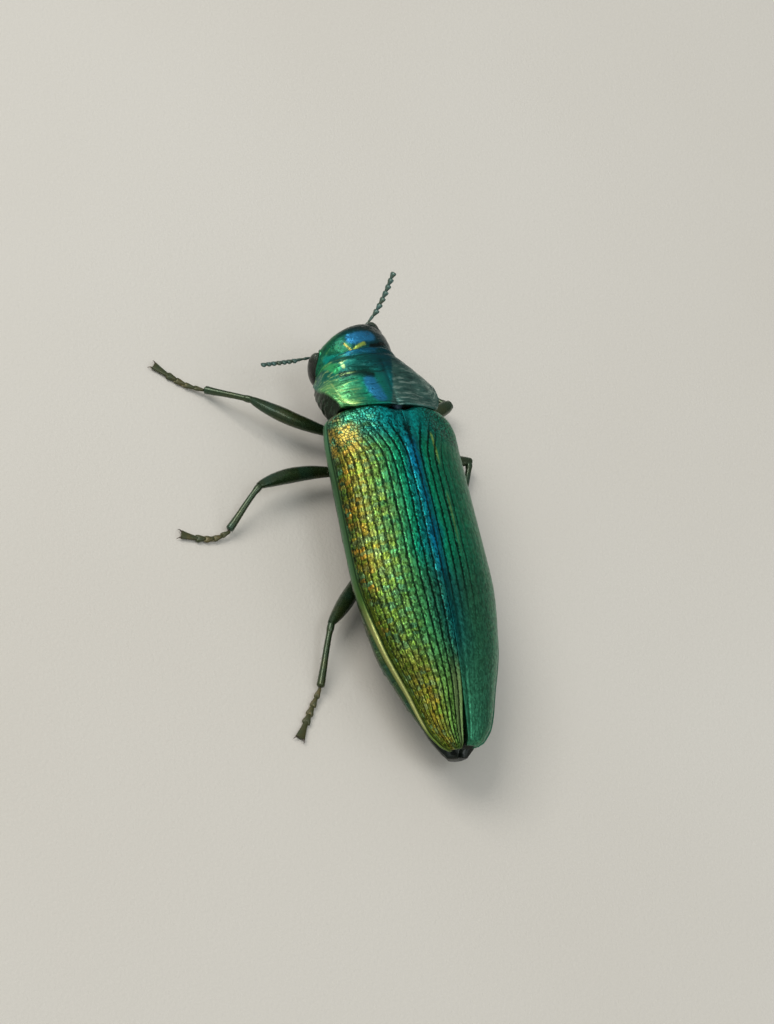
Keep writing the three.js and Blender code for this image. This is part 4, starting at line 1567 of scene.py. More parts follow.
@dataclass
class WingCase:
    """One wing case: a hard shell with engraved grooves, flat to its fellow at the suture."""

    side: Side
    finish: WingCaseFinish
    tip_spread: float
    tip_reach: float
    joint_depth: float
    wall: float = 0.3
    rim: float = 0.08
    gap: float = 0.004
    groove_depth: float = 0.03
    grooves: float = 12.6
    brick_length: float = 0.19
    rows: int = 440
    outer: int = 170
    inner: int = 36

    def build(self) -> Piece:
        """Makes the shell, engraves it and dresses it."""
        share = np.linspace(0, 1, self.rows)[:, None]
        across = np.linspace(0, 1, self.outer)[None]
        spread = self.gap + self.tip_spread * smooth(0.8, 1, share) ** 1.5
        sign = self.side.value
        ends = 0.14 * bump(0, 0.006, share) + 0.16 * bump(1, 0.006, share)
        reach = self.tip_reach
        inset = ends - self.relief(share, across)
        top = BACK.point(share, across * math.pi / 2, sign, inset, spread, reach)
        turn = np.array([0.25, 0.5, 0.75])[None] * math.pi
        edge = BACK.point(share, np.full((1, 3), math.pi / 2), sign, ends, spread, reach)
        edge[..., 0] -= sign * 0.5 * self.wall * (1 - np.cos(turn))
        edge[..., 2] -= self.rim * np.sin(turn)
        back = np.linspace(1, 0, self.inner)[None]
        under = BACK.point(share, back * math.pi / 2, sign, self.wall, spread, reach)
        points = np.concatenate([top, edge, under], 1)
        place = np.concatenate([across, np.ones((1, 3)), back], 1) + 0 * share
        face = np.zeros_like(place)
        face[:, :self.outer] = smooth(0.0, 0.02, across)
        notes = {
            "lattice": self.lattice(share, place),
            "across": place,
            "along": share + 0 * place,
            "face": face,
        }
        name = f"wing_case_{self.side.word}"
        piece = loft(name, through(TRUNK, points), notes, crescent=self.outer)
        grow(piece, TREES.engrave, {
            "Groove Depth": self.groove_depth, "Outer Grooves": self.finish.outer_grooves,
            "Tail Grooves": self.finish.tail_grooves, "Joint Depth": self.joint_depth,
            "Unevenness": 0.03,
            "Material": self.finish.material(),
        })
        return dress(piece, self.finish, f"elytron_{self.side.word}")

    def relief(self, share: Array, across: Array) -> Array:
        """The raised suture, the margin strip with its furrow, and the shoulder."""
        rear = smooth(0.45, 0.7, share)
        edge = across + STRIP_GROWTH * smooth(0.5, 0.75, share)
        suture = 0.03 * bump(0.0, 0.035, across) - 0.02 * bump(0.075, 0.02, across)
        strip = (0.015 + 0.06 * rear) * smooth(0.9, 0.94, edge) * smooth(1.0, 0.965, edge)
        furrow = (0.02 + 0.02 * rear) * bump(0.897, 0.012, edge)
        shoulder = 0.09 * bump(0.055, 0.035, share) * bump(0.72, 0.13, across)
        dip = 0.06 * bump(0.045, 0.03, share) * bump(0.4, 0.12, across)
        return suture + strip - furrow + shoulder - dip

    def lattice(self, share: Array, across: Array) -> Array:
        """Groove number across and joint number along; the grooves bend outwards in front."""
        bend = 0.9 + 0.63 * (1 - smooth(0, 0.22, share)) ** 2
        groove = across ** bend * self.grooves
        row = share * BACK.length / self.brick_length + 0 * groove
        return np.stack([groove, row, 0 * row + 7.0 * self.side.value], -1)


# ---- trunk ----------------------------------------------------------------------------------
@dataclass(frozen=True)
class Prothorax:
    """The frame and the skin of the front ring of the body, under the collar shield."""

    pivot: tuple[float, float, float] = (0.0, -0.815, 1.15)
    nod: float = 5.6
    roll: float = -1.2
    turn: float = 7.5
    length: float = 2.57
    base: float = 2.62
    front: float = 2.0
    bulge: float = 0.2
    edges: tuple[float, float] = (0.58, -1.15)
    tops: tuple[float, float] = (1.83, 1.77)
    arches: tuple[float, float] = (0.7, 0.85)
    bellies: tuple[float, float] = (-1.62, -1.9)
    belly_arch: float = 0.9
    flank: float = 0.8
    # Powers of the way from base to front: how late the width, edges, top and arch change.
    width_ease: float = 3
    edge_ease: float = 1.8
    top_ease: float = 1.3
    arch_ease: float = 2
    collar_gap: float = -0.03

    def frame(self) -> Array:
        """Its 4 x 4 frame in the trunk's."""
        shift = np.eye(4)
        shift[2, 3] = -self.pivot[2]
        return turned(self.pivot, self.nod, self.roll, self.turn) @ shift

    def skin(self, along: Array, angle: Array) -> Array:
        """A point in its own frame: along is 0 behind and 1 in front, the angle 0 on top."""
        half = mix(self.base, self.front, along ** self.width_ease)
        half = half + self.bulge * np.sin(math.pi * along)
        edge = mix(*self.edges, along ** self.edge_ease)
        roof = mix(*self.tops, along ** self.top_ease)
        arch = mix(*self.arches, along ** self.arch_ease)
        over = np.abs(angle) <= math.pi / 2
        below = math.pi - np.abs(angle)
        x_over = half * np.sin(angle)
        z_over = edge + (roof - edge) * power(np.cos(angle), arch)
        x_below = np.sign(angle) * half * power(np.sin(below), self.flank)
        z_below = edge + (mix(*self.bellies, along) - edge) * power(np.cos(below), self.belly_arch)
        x = np.where(over, x_over, x_below)
        z = np.where(over, z_over, z_below)
        return np.stack([x, -self.length * along + 0 * x, z], -1)

    def height(self, x: float, y: float) -> float:
        """Height of the back over a place in its own frame."""
        along = min(1.0, max(0.0, -y / self.length))
        half = float(self.skin(np.array(along), np.array(math.pi / 2))[0])
        angle = math.asin(max(-1.0, min(1.0, x / half)))
        return float(self.skin(np.array(along), np.array(angle))[2])

    @staticmethod
    def on_back(angle: Array) -> Array:
        """1 over the back, where the ring follows the wing cases, and 0 at its two corners."""
        return 1 - smooth(0.9, 1.45, np.abs(angle))

    def hug(self, points: Array, angle: Array, along: Array) -> Array:
        """Draws the hind margin of the back to the bases of the wing cases."""
        pull = self.on_back(angle) * (1 - along) ** 2
        drawn = points.copy()
        drawn[..., 1] = mix(points[..., 1], -BACK.lobe - self.collar_gap, pull)
        return drawn


PROTHORAX = Prothorax()


# How far the front rim rises from the plain ring to meet the turned head, by angle.
FRONT_RIM = curve_through((
    (-2.2, 0), (-1.3, -0.25), (-0.77, -0.2), (-0.47, -0.1), (0, 0.02), (0.31, 0.14), (0.63, 0.28),
    (0.89, 0.4), (1.15, 0.43), (1.38, 0.28), (1.7, 0),
))


@dataclass
class CollarShield:
    """The pronotum with the flanks and chest that make one ring with it."""

    rings: int = 170
    sides: int = 360
    roll_steps: int = 5

    @staticmethod
    def keel_angle(along: Array) -> Array:
        """The angle round the ring at which its side keel runs."""
        return 1.35 + 0.22 * smooth(0.0, 0.9, along)

    def build(self) -> list[Piece]:
        """Makes the ring and its sparse bristles."""
        along = np.linspace(0, 1, self.rings)[:, None]
        angle = np.linspace(-math.pi, math.pi, self.sides, endpoint=False)[None]
        angle = angle + 0 * along
        local = PROTHORAX.skin(along, angle)
        height = self.relief(local, angle, along)
        points = PROTHORAX.hug(through(PROTHORAX.frame(), raised(local, height)), angle, along)
        rolled = rolled_ends(points, 0.05, self.roll_steps)
        pad = ((self.roll_steps, self.roll_steps), (0, 0))
        roof = smooth(0.09, 0.02, np.abs(angle) - self.keel_angle(along))
        notes = {
            "local": np.pad(local, pad + ((0, 0),), mode="edge"),
            "roof": np.pad(roof, pad, mode="edge"),
            "hairy": np.pad(smooth(1.9, 2.4, np.abs(angle)), pad, mode="edge"),
        }
        shield = loft("collar_shield", through(TRUNK, rolled), notes)
        hair = scatter(shield, "collar_bristles", BRISTLE, 9.0, 0.16, (0, 1.2, 0), 11)
        pock(shield, PRONOTUM, 4.5, 0.01, 0.05, (0.8, 4.0, 1.2))
        return [dress(shield, PRONOTUM, "pronotum"), dress(hair, BRISTLE)]

    def relief(self, local: Array, angle: Array, along: Array) -> Array:
        """Side keels, hollows on the back, and the plates of the chest."""
        x, y = local[..., 0], local[..., 1]
        keel = 0.07 * bump(self.keel_angle(along), 0.045, np.abs(angle))
        keel = keel * (1 - smooth(0.85, 1.0, along))
        over = smooth(1.6, 1.4, np.abs(angle))
        pans = 0.12 * bump(1.45, 0.55, np.abs(x)) * bump(-0.75, 0.55, y)
        notch = 0.1 * bump(0, 0.35, x) * bump(-0.15, 0.3, y)
        middle = 0.035 * bump(0, 0.1, x) * smooth(-2.3, -1.8, y)
        collar = 0.05 * bump(-2.32, 0.08, y) - 0.03 * bump(-2.5, 0.06, y)
        folds = 0.06 * bump(-1.95 + 0.12 * np.sin(2.1 * x), 0.07, y) * bump(0.7, 0.7, x)
        folds += 0.04 * bump(-1.7 + 0.1 * np.sin(2.6 * x + 1), 0.06, y) * bump(0.5, 0.6, x)
        lip = 0.05 * bump(-0.06, 0.06, y)
        meet = FRONT_RIM(angle) * smooth(-1.5, -2.5, y)
        back = over * (lip - pans - notch - middle - collar - folds)
        under = smooth(1.75, 1.95, np.abs(angle))
        seam = 0.06 * bump(1.25, 0.05, np.abs(x) - 0.25 * np.abs(y + 1.2))
        cups = 0.28 * bump(0.95, 0.36, np.abs(x)) * bump(-0.75, 0.42, y)
        keel_below = 0.10 * bump(0, 0.38, x)
        ripple = 0.02 * np.sin(16 * y + 3 * np.sin(2 * x)) * smooth(2.3, 2.0, np.abs(angle))
        return keel + back + meet + under * (keel_below - seam - cups + ripple)


@dataclass
class UnderBody:
    """The thorax and the abdomen under the wing cases."""

    thorax_start: float = 0.1
    thorax_end: float = 5.6
    behind_face: float = 0.12
    collar_gap: float = 0.04
    abdomen_start: float = 5.63
    abdomen_end: float = 16.6
    depth: float = 1.9
    shell_gap: float = 0.1
    arch: float = 0.9
    roof_inset: float = 0.6
    droop: float = 0.45
    droop_start: float = 15.0
    flank: float = 1.05
    plate_ends: tuple[float, ...] = (8.7, 10.9, 12.8, 14.4, 16.6)
    depths: Curve = curve_through((
        (-0.1, 0.86), (0.1, 1), (0.3, 1), (0.5, 0.93), (0.7, 0.78), (0.85, 0.6), (0.95, 0.42),
        (1.03, 0.2),
    ))
    widths: Curve = curve_through((
        (-0.1, 0.78), (0.03, 0.84), (0.1, 0.9), (0.3, 0.92), (0.5, 0.94), (0.7, 0.88),
        (0.85, 0.66), (0.95, 0.45), (1.03, 0.12),
    ))
    sides: int = 240

    def ring(self, y: Array, angle: Array) -> Array:
        """A point of the body's skin: the roof follows the wing cases, the belly is a bowl."""
        share = y / BACK.length
        inside = np.clip(share, 0, 1)
        droop = self.droop * smooth(self.droop_start, self.abdomen_end, y)
        edge = BACK.margins(np.minimum(share, 1)) - self.shell_gap - droop
        side = np.where(angle < 0, -1.0, 1.0)
        turn = np.minimum(np.abs(angle), math.pi / 2)
        roof = BACK.point(inside, turn, side, self.roof_inset, 0.0)
        shrink = 1 - smooth(0.97, 1.035, share)
        below = math.pi - np.abs(angle)
        over = np.abs(angle) <= math.pi / 2 + 0.001
        x_below = side * BACK.half_width * self.widths(share) * power(np.sin(below), self.flank)
        z_below = edge - self.depth * self.depths(share) * power(np.cos(below), self.arch)
        z_over = mix(edge, np.maximum(edge, roof[..., 2] - droop), shrink)
        x = np.where(over, roof[..., 0] * shrink, x_below)
        return np.stack([x, y + 0 * x, np.where(over, z_over, z_below)], -1)

    def build(self) -> list[Piece]:
        """Makes both parts and their bristles."""
        return [*self.thorax(), *self.abdomen()]

    def _part(
        self, name: str, node: str, points: Array, height: Array, hairy: Array, seed: int
    ) -> list[Piece]:
        """Raises, pocks and dresses one part, and scatters its bristles."""
        skin = through(TRUNK, raised(points, height))
        shade = 0.92 * smooth(14.6, 16.2, points[..., 1])
        piece = loft(name, skin, {"hairy": hairy, "shade": shade})
        hair = scatter(piece, f"{name}_bristles", BRISTLE, 7.0, 0.17, (0, 1.6, 0), seed)
        pock(piece, UNDERSIDE, 4.2, 0.022, 0.02, (2.5, 1.2, 1.5))
        return [dress(piece, UNDERSIDE, node), dress(hair, BRISTLE)]

    def thorax(self) -> list[Piece]:
        """The middle and hind thorax, with the seams of its plates and its leg sockets."""
        along = np.linspace(0, 1, 150)[:, None]
        angle = np.linspace(-math.pi, math.pi, self.sides, endpoint=False)[None]
        points = self.ring(mix(self.thorax_start, self.thorax_end, along), angle + 0 * along)
        on_face = points.copy()
        on_face[..., 1] = self.behind_face
        slanted = through(PROTHORAX.frame(), on_face)[..., 1]
        wide = angle + 0 * along
        slanted = mix(slanted, -BACK.lobe + self.collar_gap, PROTHORAX.on_back(wide))
        points[..., 1] += (1 - smooth(0.0, 0.12, along)) * (slanted - points[..., 1])
        x, y = points[..., 0], points[..., 1]
        under = smooth(1.7, 1.9, np.abs(wide))
        seams = 0.06 * bump(2.15, 0.05, y) * smooth(2.6, 2.3, np.abs(x))
        seams += 0.05 * bump(0.0, 0.05, x) * smooth(0.4, 1.2, y)
        seams += 0.07 * bump(2.05 + 0.1 * y, 0.05, np.abs(x)) * smooth(1.2, 1.7, y)
        seams += 0.06 * bump(4.75 - 0.12 * np.abs(x), 0.05, y)
        cups = 0.25 * bump(0.95, 0.38, np.abs(x)) * bump(1.0, 0.4, y)
        cups += 0.16 * bump(0.75, 0.4, np.abs(x)) * bump(5.5, 0.35, y)
        keel = 0.08 * bump(0, 0.45, x)
        return self._part(
            "thorax_shell", "thorax", points, under * (keel - seams - cups), under + 0 * x, 21
        )

    def abdomen(self) -> list[Piece]:
        """The abdomen, whose five belly plates overlap like tiles."""
        y = np.linspace(self.abdomen_start, self.abdomen_end, 300)[:, None]
        angle = np.linspace(-math.pi, math.pi, self.sides, endpoint=False)[None]
        points = self.ring(y, angle + 0 * y)
        wide = angle + 0 * y
        x = points[..., 0]
        under = smooth(1.75, 2.1, np.abs(wide))
        starts = np.array((self.abdomen_start, *self.plate_ends[:-1]))
        bend = y + 0.05 * x ** 2
        plate = np.clip(np.searchsorted(self.plate_ends, bend.ravel()).reshape(bend.shape), 0, 4)
        begin, end = starts[plate], np.array(self.plate_ends)[plate]
        within = (bend - begin) / (end - begin)
        tile = 0.09 * (smooth(0, 1, within) - 1) - 0.06 * bump(0, 0.03, within)
        rim = 0.04 * bump(0.96, 0.04, within)
        flank = 0.06 * bump(2.0, 0.05, np.abs(wide)) * smooth(16.0, 15.0, y)
        taper = smooth(16.6, 15.6, y)
        height = under * taper * (tile + rim - flank)
        return self._part("abdomen_shell", "abdomen", points, height, under + 0 * x, 22)


@dataclass
class ScutellumPlate:
    """The small shield between the bases of the wing cases."""

    front: float = -0.34
    rear: float = -0.08
    front_half: float = 0.3
    rear_half: float = 0.14
    thick: float = 0.3

    def build(self) -> Piece:
        """Makes a pillow-topped plate."""
        along = np.linspace(0, 1, 30)[:, None]
        angle = np.linspace(-math.pi, math.pi, 72, endpoint=False)[None]
        half = mix(self.front_half, self.rear_half, along ** 1.5)
        top = BACK.height * BACK.domes(np.zeros(1)) - 0.14
        x = half * np.sign(np.sin(angle)) * power(np.abs(np.sin(angle)), 0.6)
        rise = np.sign(np.cos(angle)) * power(np.abs(np.cos(angle)), 0.5)
        z = top - 0.5 * self.thick + 0.5 * self.thick * rise - 0.08 * (x / half) ** 2
        y = mix(self.front, self.rear, along)
        points = rolled_ends(np.stack([x, y + 0 * x, z], -1), 0.03, 3)
        piece = loft("scutellum_plate", through(TRUNK, points))
        return dress(piece, SCUTELLUM, "scutellum")


def scatter(
    piece: Piece, name: str, finish: Finish, density: float, length: float,
    lean: Sequence[float], seed: int, thickness: float = 0.006,
) -> Piece:
    """Bristles on a copy of a piece, where its "hairy" value is above 0.

    Args:
        piece: the piece that they grow from.
        name: the name of the bristles.
        finish: their finish.
        density: bristles on each square millimetre.
        length: their length in millimetres.
        lean: which way they lean, on the floor frame.
        seed: the seed of their places.
        thickness: their radius at the root in millimetres.

    Returns:
        The bristles.
    """
    hair = bpy.data.objects.new(name, piece.data.copy())
    bpy.context.scene.collection.objects.link(hair)
    grow(hair, TREES.bristles, {
        "Per Square Millimetre": density, "Length": length, "Thickness": thickness,
        "Lean": lean, "Seed": seed, "Material": finish.material(),
    })
    return hair


# ---- head -----------------------------------------------------------------------------------
@dataclass
class Head:
    """The head: capsule, eyes, feelers and mouthparts, in a frame turned to the beetle's left."""

    centre: tuple[float, float, float] = (1.14, -4.29, -0.23)
    nod: float = 18.7
    roll: float = 14.8
    turn: float = 21.2
    eye_out: float = 1.58
    eye_back: float = 0.17
    eye_up: float = -0.26
    eye_radii: tuple[float, float, float] = (0.48, 0.44, 1.06)
    eye_lean: float = 8.0
    neck_gap: float = 0.015
    root: tuple[float, float, float] = (0.72, -0.42, -0.26)

    def frame(self) -> Array:
        """The head's 4 x 4 frame on the floor."""
        return TRUNK @ self.in_trunk()

    def in_trunk(self) -> Array:
        """The head's 4 x 4 frame in the trunk's."""
        return turned(self.centre, self.nod, self.roll, self.turn)

    def build(self) -> list[Piece]:
        """Makes every part of the head."""
        pieces = [self.capsule(), self.lip()]
        for side in Side:
            pieces += [self.eye(side), *self.feeler(side), self.jaw(side), *self.palps(side)]
        return pieces

    def eye_place(self, side: Side) -> tuple[Array, Array]:
        """An eye's middle and its lean, in the head's frame."""
        centre = np.array([side.value * self.eye_out, self.eye_back, self.eye_up])
        return centre, np.array(Matrix.Rotation(math.radians(self.eye_lean), 3, "X"))

    def eye_reach(self, points: Array, side: Side) -> Array:
        """Distance from an eye's middle in the head's frame, 1 on its surface."""
        centre, lean = self.eye_place(side)
        return np.linalg.norm(((points - centre) @ lean) / np.array(self.eye_radii), axis=-1)

    def tucked(self, points: Array) -> Array:
        """Trunk points kept in front of the prothorax's front face."""
        frame_in = PROTHORAX.frame()
        local = through(np.linalg.inv(frame_in), points)
        local[..., 1] = np.minimum(local[..., 1], -PROTHORAX.length - self.neck_gap)
        return through(frame_in, local)

    def capsule(self) -> Piece:
        """The skull, with grooves over its crown, eye sockets and feeler pits."""
        unit = egg((0, 0, 0), (1, 1, 1), 210, 300)[1]
        x, y, z = unit[..., 0], unit[..., 1], unit[..., 2]
        narrow = 1 - 0.3 * smooth(0, 1, -z) - 0.05 * smooth(0, 1, z)
        depth = SKULL.middle + np.where(y > 0, SKULL.back * y, -SKULL.front * power(-y, 0.7))
        deep = np.where(z > 0, SKULL.top, SKULL.chin)
        local = np.stack([SKULL.half * x * narrow, depth, deep * z], -1)
        on_trunk = self.tucked(through(self.in_trunk(), raised(local, self.relief(local))))
        piece = loft("head_capsule", through(TRUNK, on_trunk), {"local": local})
        pock(piece, HEAD, 4.2, 0.01, 0.04, (1.0, 3.0, 2.0))
        return dress(piece, HEAD, "head")

    def relief(self, local: Array) -> Array:
        """Heights over the skull in millimetres."""
        x, y, z = local[..., 0], local[..., 1], local[..., 2]
        height = np.zeros_like(x)
        for side in Side:
            reach = self.eye_reach(local, side)
            height += 0.05 * bump(1.16, 0.07, reach) - 0.07 * bump(1.03, 0.05, reach)
            root = np.array(self.root) * (side.value, 1, 1)
            away = np.linalg.norm(local - root, axis=-1)
            height += 0.04 * bump(0.34, 0.08, away) - 0.12 * bump(0.0, 0.2, away)
        height -= 0.05 * bump(0, 0.07, x) * smooth(-1.0, 0.2, z) * smooth(0.9, 0.5, z)
        height -= 0.09 * bump(0, 0.55, x) * bump(0.2, 0.5, z) * smooth(0.2, -0.5, y)
        height -= 0.06 * bump(-0.85 - 0.2 * np.abs(x), 0.08, z) * smooth(0.3, -0.3, y)
        height -= 0.05 * bump(1.05, 0.08, np.abs(x) + 0.3 * z) * smooth(-0.5, -1.2, z)
        return height

    def lip(self) -> Piece:
        """The upper lip over the jaws."""
        points, unit = egg((0, -0.18, -1.42), (0.5, 0.3, 0.26), 30, 48)
        notch = 0.1 * bump(0, 0.2, points[..., 0]) * smooth(0, -0.8, unit[..., 2])
        points[..., 2] += notch
        piece = loft("lip", through(self.frame(), points))
        return dress(piece, JAW)

    def eye(self, side: Side) -> Piece:
        """One compound eye, with a fine rim."""
        points, unit = egg((0, 0, 0), self.eye_radii, 90, 120)
        centre, lean = self.eye_place(side)
        local = points @ lean.T + centre
        on_trunk = self.tucked(through(self.in_trunk(), local))
        rim = 1 - np.abs(unit[..., 0])
        piece = loft(f"eye_dome_{side.word}", through(TRUNK, on_trunk), {"rim": rim})
        return dress(piece, EYE, f"eye_{side.word}")

    def feeler_path(self, side: Side) -> Array:
        """The feeler's centre line on the floor frame."""
        return spine(
            f"antenna_{side.word}", through(self.frame(), np.array(self.root) * (side.value, 1, 1))
        )

    @staticmethod
    def club_girth(share: Array) -> tuple[Array, Array]:
        """Half width and half height of a feeler's first joint along its length."""
        girth = 0.06 + 0.05 * np.sin(math.pi * share ** 0.8)
        return girth, girth

    def feeler(self, side: Side) -> list[Piece]:
        """A short saw-edged feeler: a club, a thin stalk and seven toothed joints."""
        path = self.feeler_path(side)
        top = self.frame()[:3, :3] @ np.array([0, -0.2, 1.0])
        club_line = follow(path, np.linspace(-0.01, 0.13, 8))[0]
        club = tube(f"feeler_club_{side.word}", club_line, self.club_girth, 24, 30)
        stalk = joint_shape("stalk_joint", JOINTS.bead, JOINTS.bead)
        saw = joint_shape("saw_joint", JOINTS.saw, JOINTS.saw_height, sway=0.3 * side.value)
        thin = bead_string(
            f"feeler_stalk_{side.word}", follow(path, np.linspace(0.12, 0.44, 12))[0], stalk, 3,
            (0.13, 0.15), FEELER, top=tuple(top),
        )
        teeth = bead_string(
            f"feeler_teeth_{side.word}", follow(path, np.linspace(0.43, 1.0, 16))[0], saw, 7,
            (0.26, 0.25), FEELER, 1.24, top=tuple(top),
        )
        for part in (stalk, saw):
            bpy.data.meshes.remove(part.data)
        return [dress(club, FEELER, f"antenna_{side.word}"), dress(thin, FEELER), dress(teeth, FEELER)]

    def jaw(self, side: Side) -> Piece:
        """One short curved jaw."""
        root = through(self.frame(), np.array([side.value * 0.55, 0.1, -1.5]))
        line = spine(f"mandible_{side.word}", root)
        piece = tube(f"jaw_{side.word}", line, tapered((0.27, 0.09), (0.22, 0.07)), 28, 30)
        return dress(piece, JAW, f"mandible_{side.word}")

    def palps(self, side: Side) -> list[Piece]:
        """A jointed palp beside the jaws."""
        knots = np.array([
            (0.72, 0.25, -1.5), (0.86, 0.02, -1.78), (0.8, -0.16, -1.98), (0.62, -0.26, -2.08)
        ])
        joint = joint_shape("palp_joint", JOINTS.bead, JOINTS.bead)
        piece = bead_string(
            f"palp_{side.word}", through(self.frame(), knots * (side.value, 1, 1)), joint, 3,
            (0.15, 0.13), FOOT,
        )
        bpy.data.meshes.remove(joint.data)
        return [dress(piece, FOOT)]


@dataclass(frozen=True)
class JointShapes:
    """Half widths and half heights along the joints that chains repeat."""

    bead: Curve = curve_through((
        (0, 0.18), (0.1, 0.34), (0.35, 0.4), (0.7, 0.5), (0.9, 0.46), (1, 0.25)
    ))
    saw: Curve = curve_through((
        (0, 0.14), (0.15, 0.25), (0.45, 0.42), (0.75, 0.62), (0.9, 0.55), (1, 0.16)
    ))
    saw_height: Curve = curve_through(((0, 0.14), (0.2, 0.28), (0.6, 0.36), (0.9, 0.3), (1, 0.14)))
    lobe: Curve = curve_through((
        (0, 0.2), (0.12, 0.34), (0.4, 0.44), (0.75, 0.62), (0.92, 0.6), (1, 0.35)
    ))
    lobe_height: Curve = curve_through(((0, 0.2), (0.15, 0.34), (0.5, 0.4), (0.85, 0.3), (1, 0.12)))


JOINTS = JointShapes()


# ---- legs -----------------------------------------------------------------------------------
@dataclass
class Leg:
    """One leg, from its socket in the body to its claws on the floor."""

    place: str
    side: Side
    femur: float = 0.37
    tibia: float = 0.165
    foot: float = 0.22
    claw: float = 0.3
    claw_spread: float = 0.16
    club: float = 0.0
    ankle_height: float = 0.27
    toe_height: float = 0.135
    sole_drop: float = 0.02
    pad_height: float = 0.1

    @property
    def word(self) -> str:
        """The leg's name, as in front_left."""
        return f"{self.place}_{self.side.word}"

    def build(self) -> list[Piece]:
        """Makes every joint of the leg."""
        hip = centre_of(f"coxa_{self.word}")
        thigh = spine(f"femur_{self.word}", hip)
        shin = spine(f"tibia_{self.word}", thigh[-1])
        foot = spine(f"tarsus_{self.word}", shin[-1])
        return [
            *self.hip_joint(hip, thigh), *self.thigh(thigh), *self.shin(thigh, shin),
            *self.feet(shin, foot),
        ]

    def hip_joint(self, hip: Array, thigh: Array) -> list[Piece]:
        """The socket joint and the small ring between it and the thigh."""
        low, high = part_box(f"coxa_{self.word}")
        radii = np.array((high - low) / 2) / MM
        points, unit = egg(hip, radii, 44, 64)
        groove = 0.03 * bump(0.35, 0.08, unit[..., 0] * self.side.value)
        socket = loft(f"hip_{self.word}", raised(points, -groove))
        line = np.array([hip, mix(hip, thigh[0], 0.55), thigh[0], thigh[1]])
        ring = tube(
            f"hip_ring_{self.word}", line,
            lambda s: (0.14 + 0.1 * np.sin(math.pi * s), 0.13 + 0.08 * np.sin(math.pi * s)), 28, 24,
        )
        return [dress(socket, LEG, f"coxa_{self.word}"), dress(ring, LEG)]

    def thigh(self, line: Array) -> list[Piece]:
        """A spindle-shaped thigh, flattened a little and grooved underneath."""
        swell = curve_through((
            (0, 0.35), (0.06, 0.55), (0.2, 0.74), (0.4, 0.93), (0.6, 1), (0.8, 0.84 + self.club),
            (0.93, 0.62 + 2 * self.club), (1, 0.42 + 2 * self.club),
        ))
        piece = tube(
            f"thigh_{self.word}", line,
            lambda s: (self.femur * swell(s), 0.86 * self.femur * swell(s)), 48, 110,
        )
        pock(piece, LEG, 7.0, 0.008, 0.02, (1.5, 1.5, 1.5))
        return [dress(piece, LEG, f"femur_{self.word}")]

    def shin(self, thigh: Array, line: Array) -> list[Piece]:
        """A slender shin with rows of bristles and two spurs at its end."""
        knee = mix(thigh[-1], thigh[-2], 0.35)
        full = np.concatenate([[knee], line])
        swell = curve_through((
            (0, 0.6), (0.05, 1.0), (0.1, 1.05), (0.2, 0.86), (0.5, 0.9), (0.85, 1.08), (0.97, 1.15),
            (1, 0.8),
        ))
        piece = tube(
            f"shin_{self.word}", full, lambda s: (self.tibia * swell(s), self.tibia * swell(s)), 32, 100
        )
        share = np.zeros(len(piece.data.vertices), np.float32)
        around = np.zeros_like(share)
        piece.data.attributes["along"].data.foreach_get("value", share)
        piece.data.attributes["around"].data.foreach_get("value", around)
        store(piece, "hairy", smooth(0.25, 0.5, share) * bump(-0.4, 0.35, around))
        ahead = line[-1] - line[0]
        ahead /= np.linalg.norm(ahead)
        hair = scatter(
            piece, f"shin_bristles_{self.word}", DARK_BRISTLE, 60.0, 0.11, tuple(ahead * 1.2), 31, 0.006
        )
        spurs = [
            self.spike(f"spur_{self.word}_{index}", line[-1], ahead, sideways, 0.24, 0.035)
            for index, sideways in enumerate((-0.3, 0.3))
        ]
        return [dress(piece, LEG, f"tibia_{self.word}"), dress(hair, DARK_BRISTLE), *spurs]

    def spike(
        self, name: str, start: Array, ahead: Array, sideways: float, length: float, girth: float
    ) -> Piece:
        """A short pointed spur that leans off the end of the shin."""
        across = np.cross(ahead, (0, 0, 1.0))
        aim = ahead + across * sideways + np.array([0, 0, -0.25])
        aim /= np.linalg.norm(aim)
        line = start - 0.05 * ahead + np.linspace(0, length, 5)[:, None] * aim
        piece = tube(name, line, tapered((girth, 0.006), (girth, 0.006)), 14, 14)
        return dress(piece, CLAW)

    def feet(self, shin: Array, line: Array) -> list[Piece]:
        """Four lobed joints, a long claw joint, pale pads underneath and two claws."""
        share = np.linspace(0, 1, 24)
        path = follow(line, share)[0]
        path[:, 2] = mix(self.ankle_height, self.toe_height, smooth(0, 0.35, share))
        path = np.concatenate([[mix(shin[-1], path[0], 0.2)], path])
        joint = joint_shape("lobed_joint", JOINTS.lobe, JOINTS.lobe_height, cleft=0.22)
        lobes = bead_string(
            f"foot_{self.word}", follow(path, np.linspace(0.0, 0.7, 20))[0], joint, 4,
            (self.foot, 1.45 * self.foot), FOOT, 1.16,
        )
        sole = follow(path, np.linspace(0.12, 0.72, 20))[0] - (0, 0, self.sole_drop)
        sole[:, 2] = np.maximum(sole[:, 2], self.pad_height)
        pads = bead_string(f"foot_pads_{self.word}", sole, joint, 4, (0.17, 0.25), PAD, 0.8)
        bpy.data.meshes.remove(joint.data)
        end_line = follow(path, np.linspace(0.66, 1.0, 10))[0]
        stem = tube(
            f"claw_joint_{self.word}", end_line,
            lambda s: (mix(0.1, 0.23, s ** 1.2), mix(0.07, 0.1, s ** 1.5)), 24, 30,
        )
        place, ahead = follow(path, np.array([0.98]))
        claws = [self.claw_tube(place[0], ahead[0], bend) for bend in (-1, 1)]
        pieces = [dress(lobes, FOOT, f"tarsus_{self.word}"), dress(pads, PAD), dress(stem, FOOT)]
        return pieces + claws

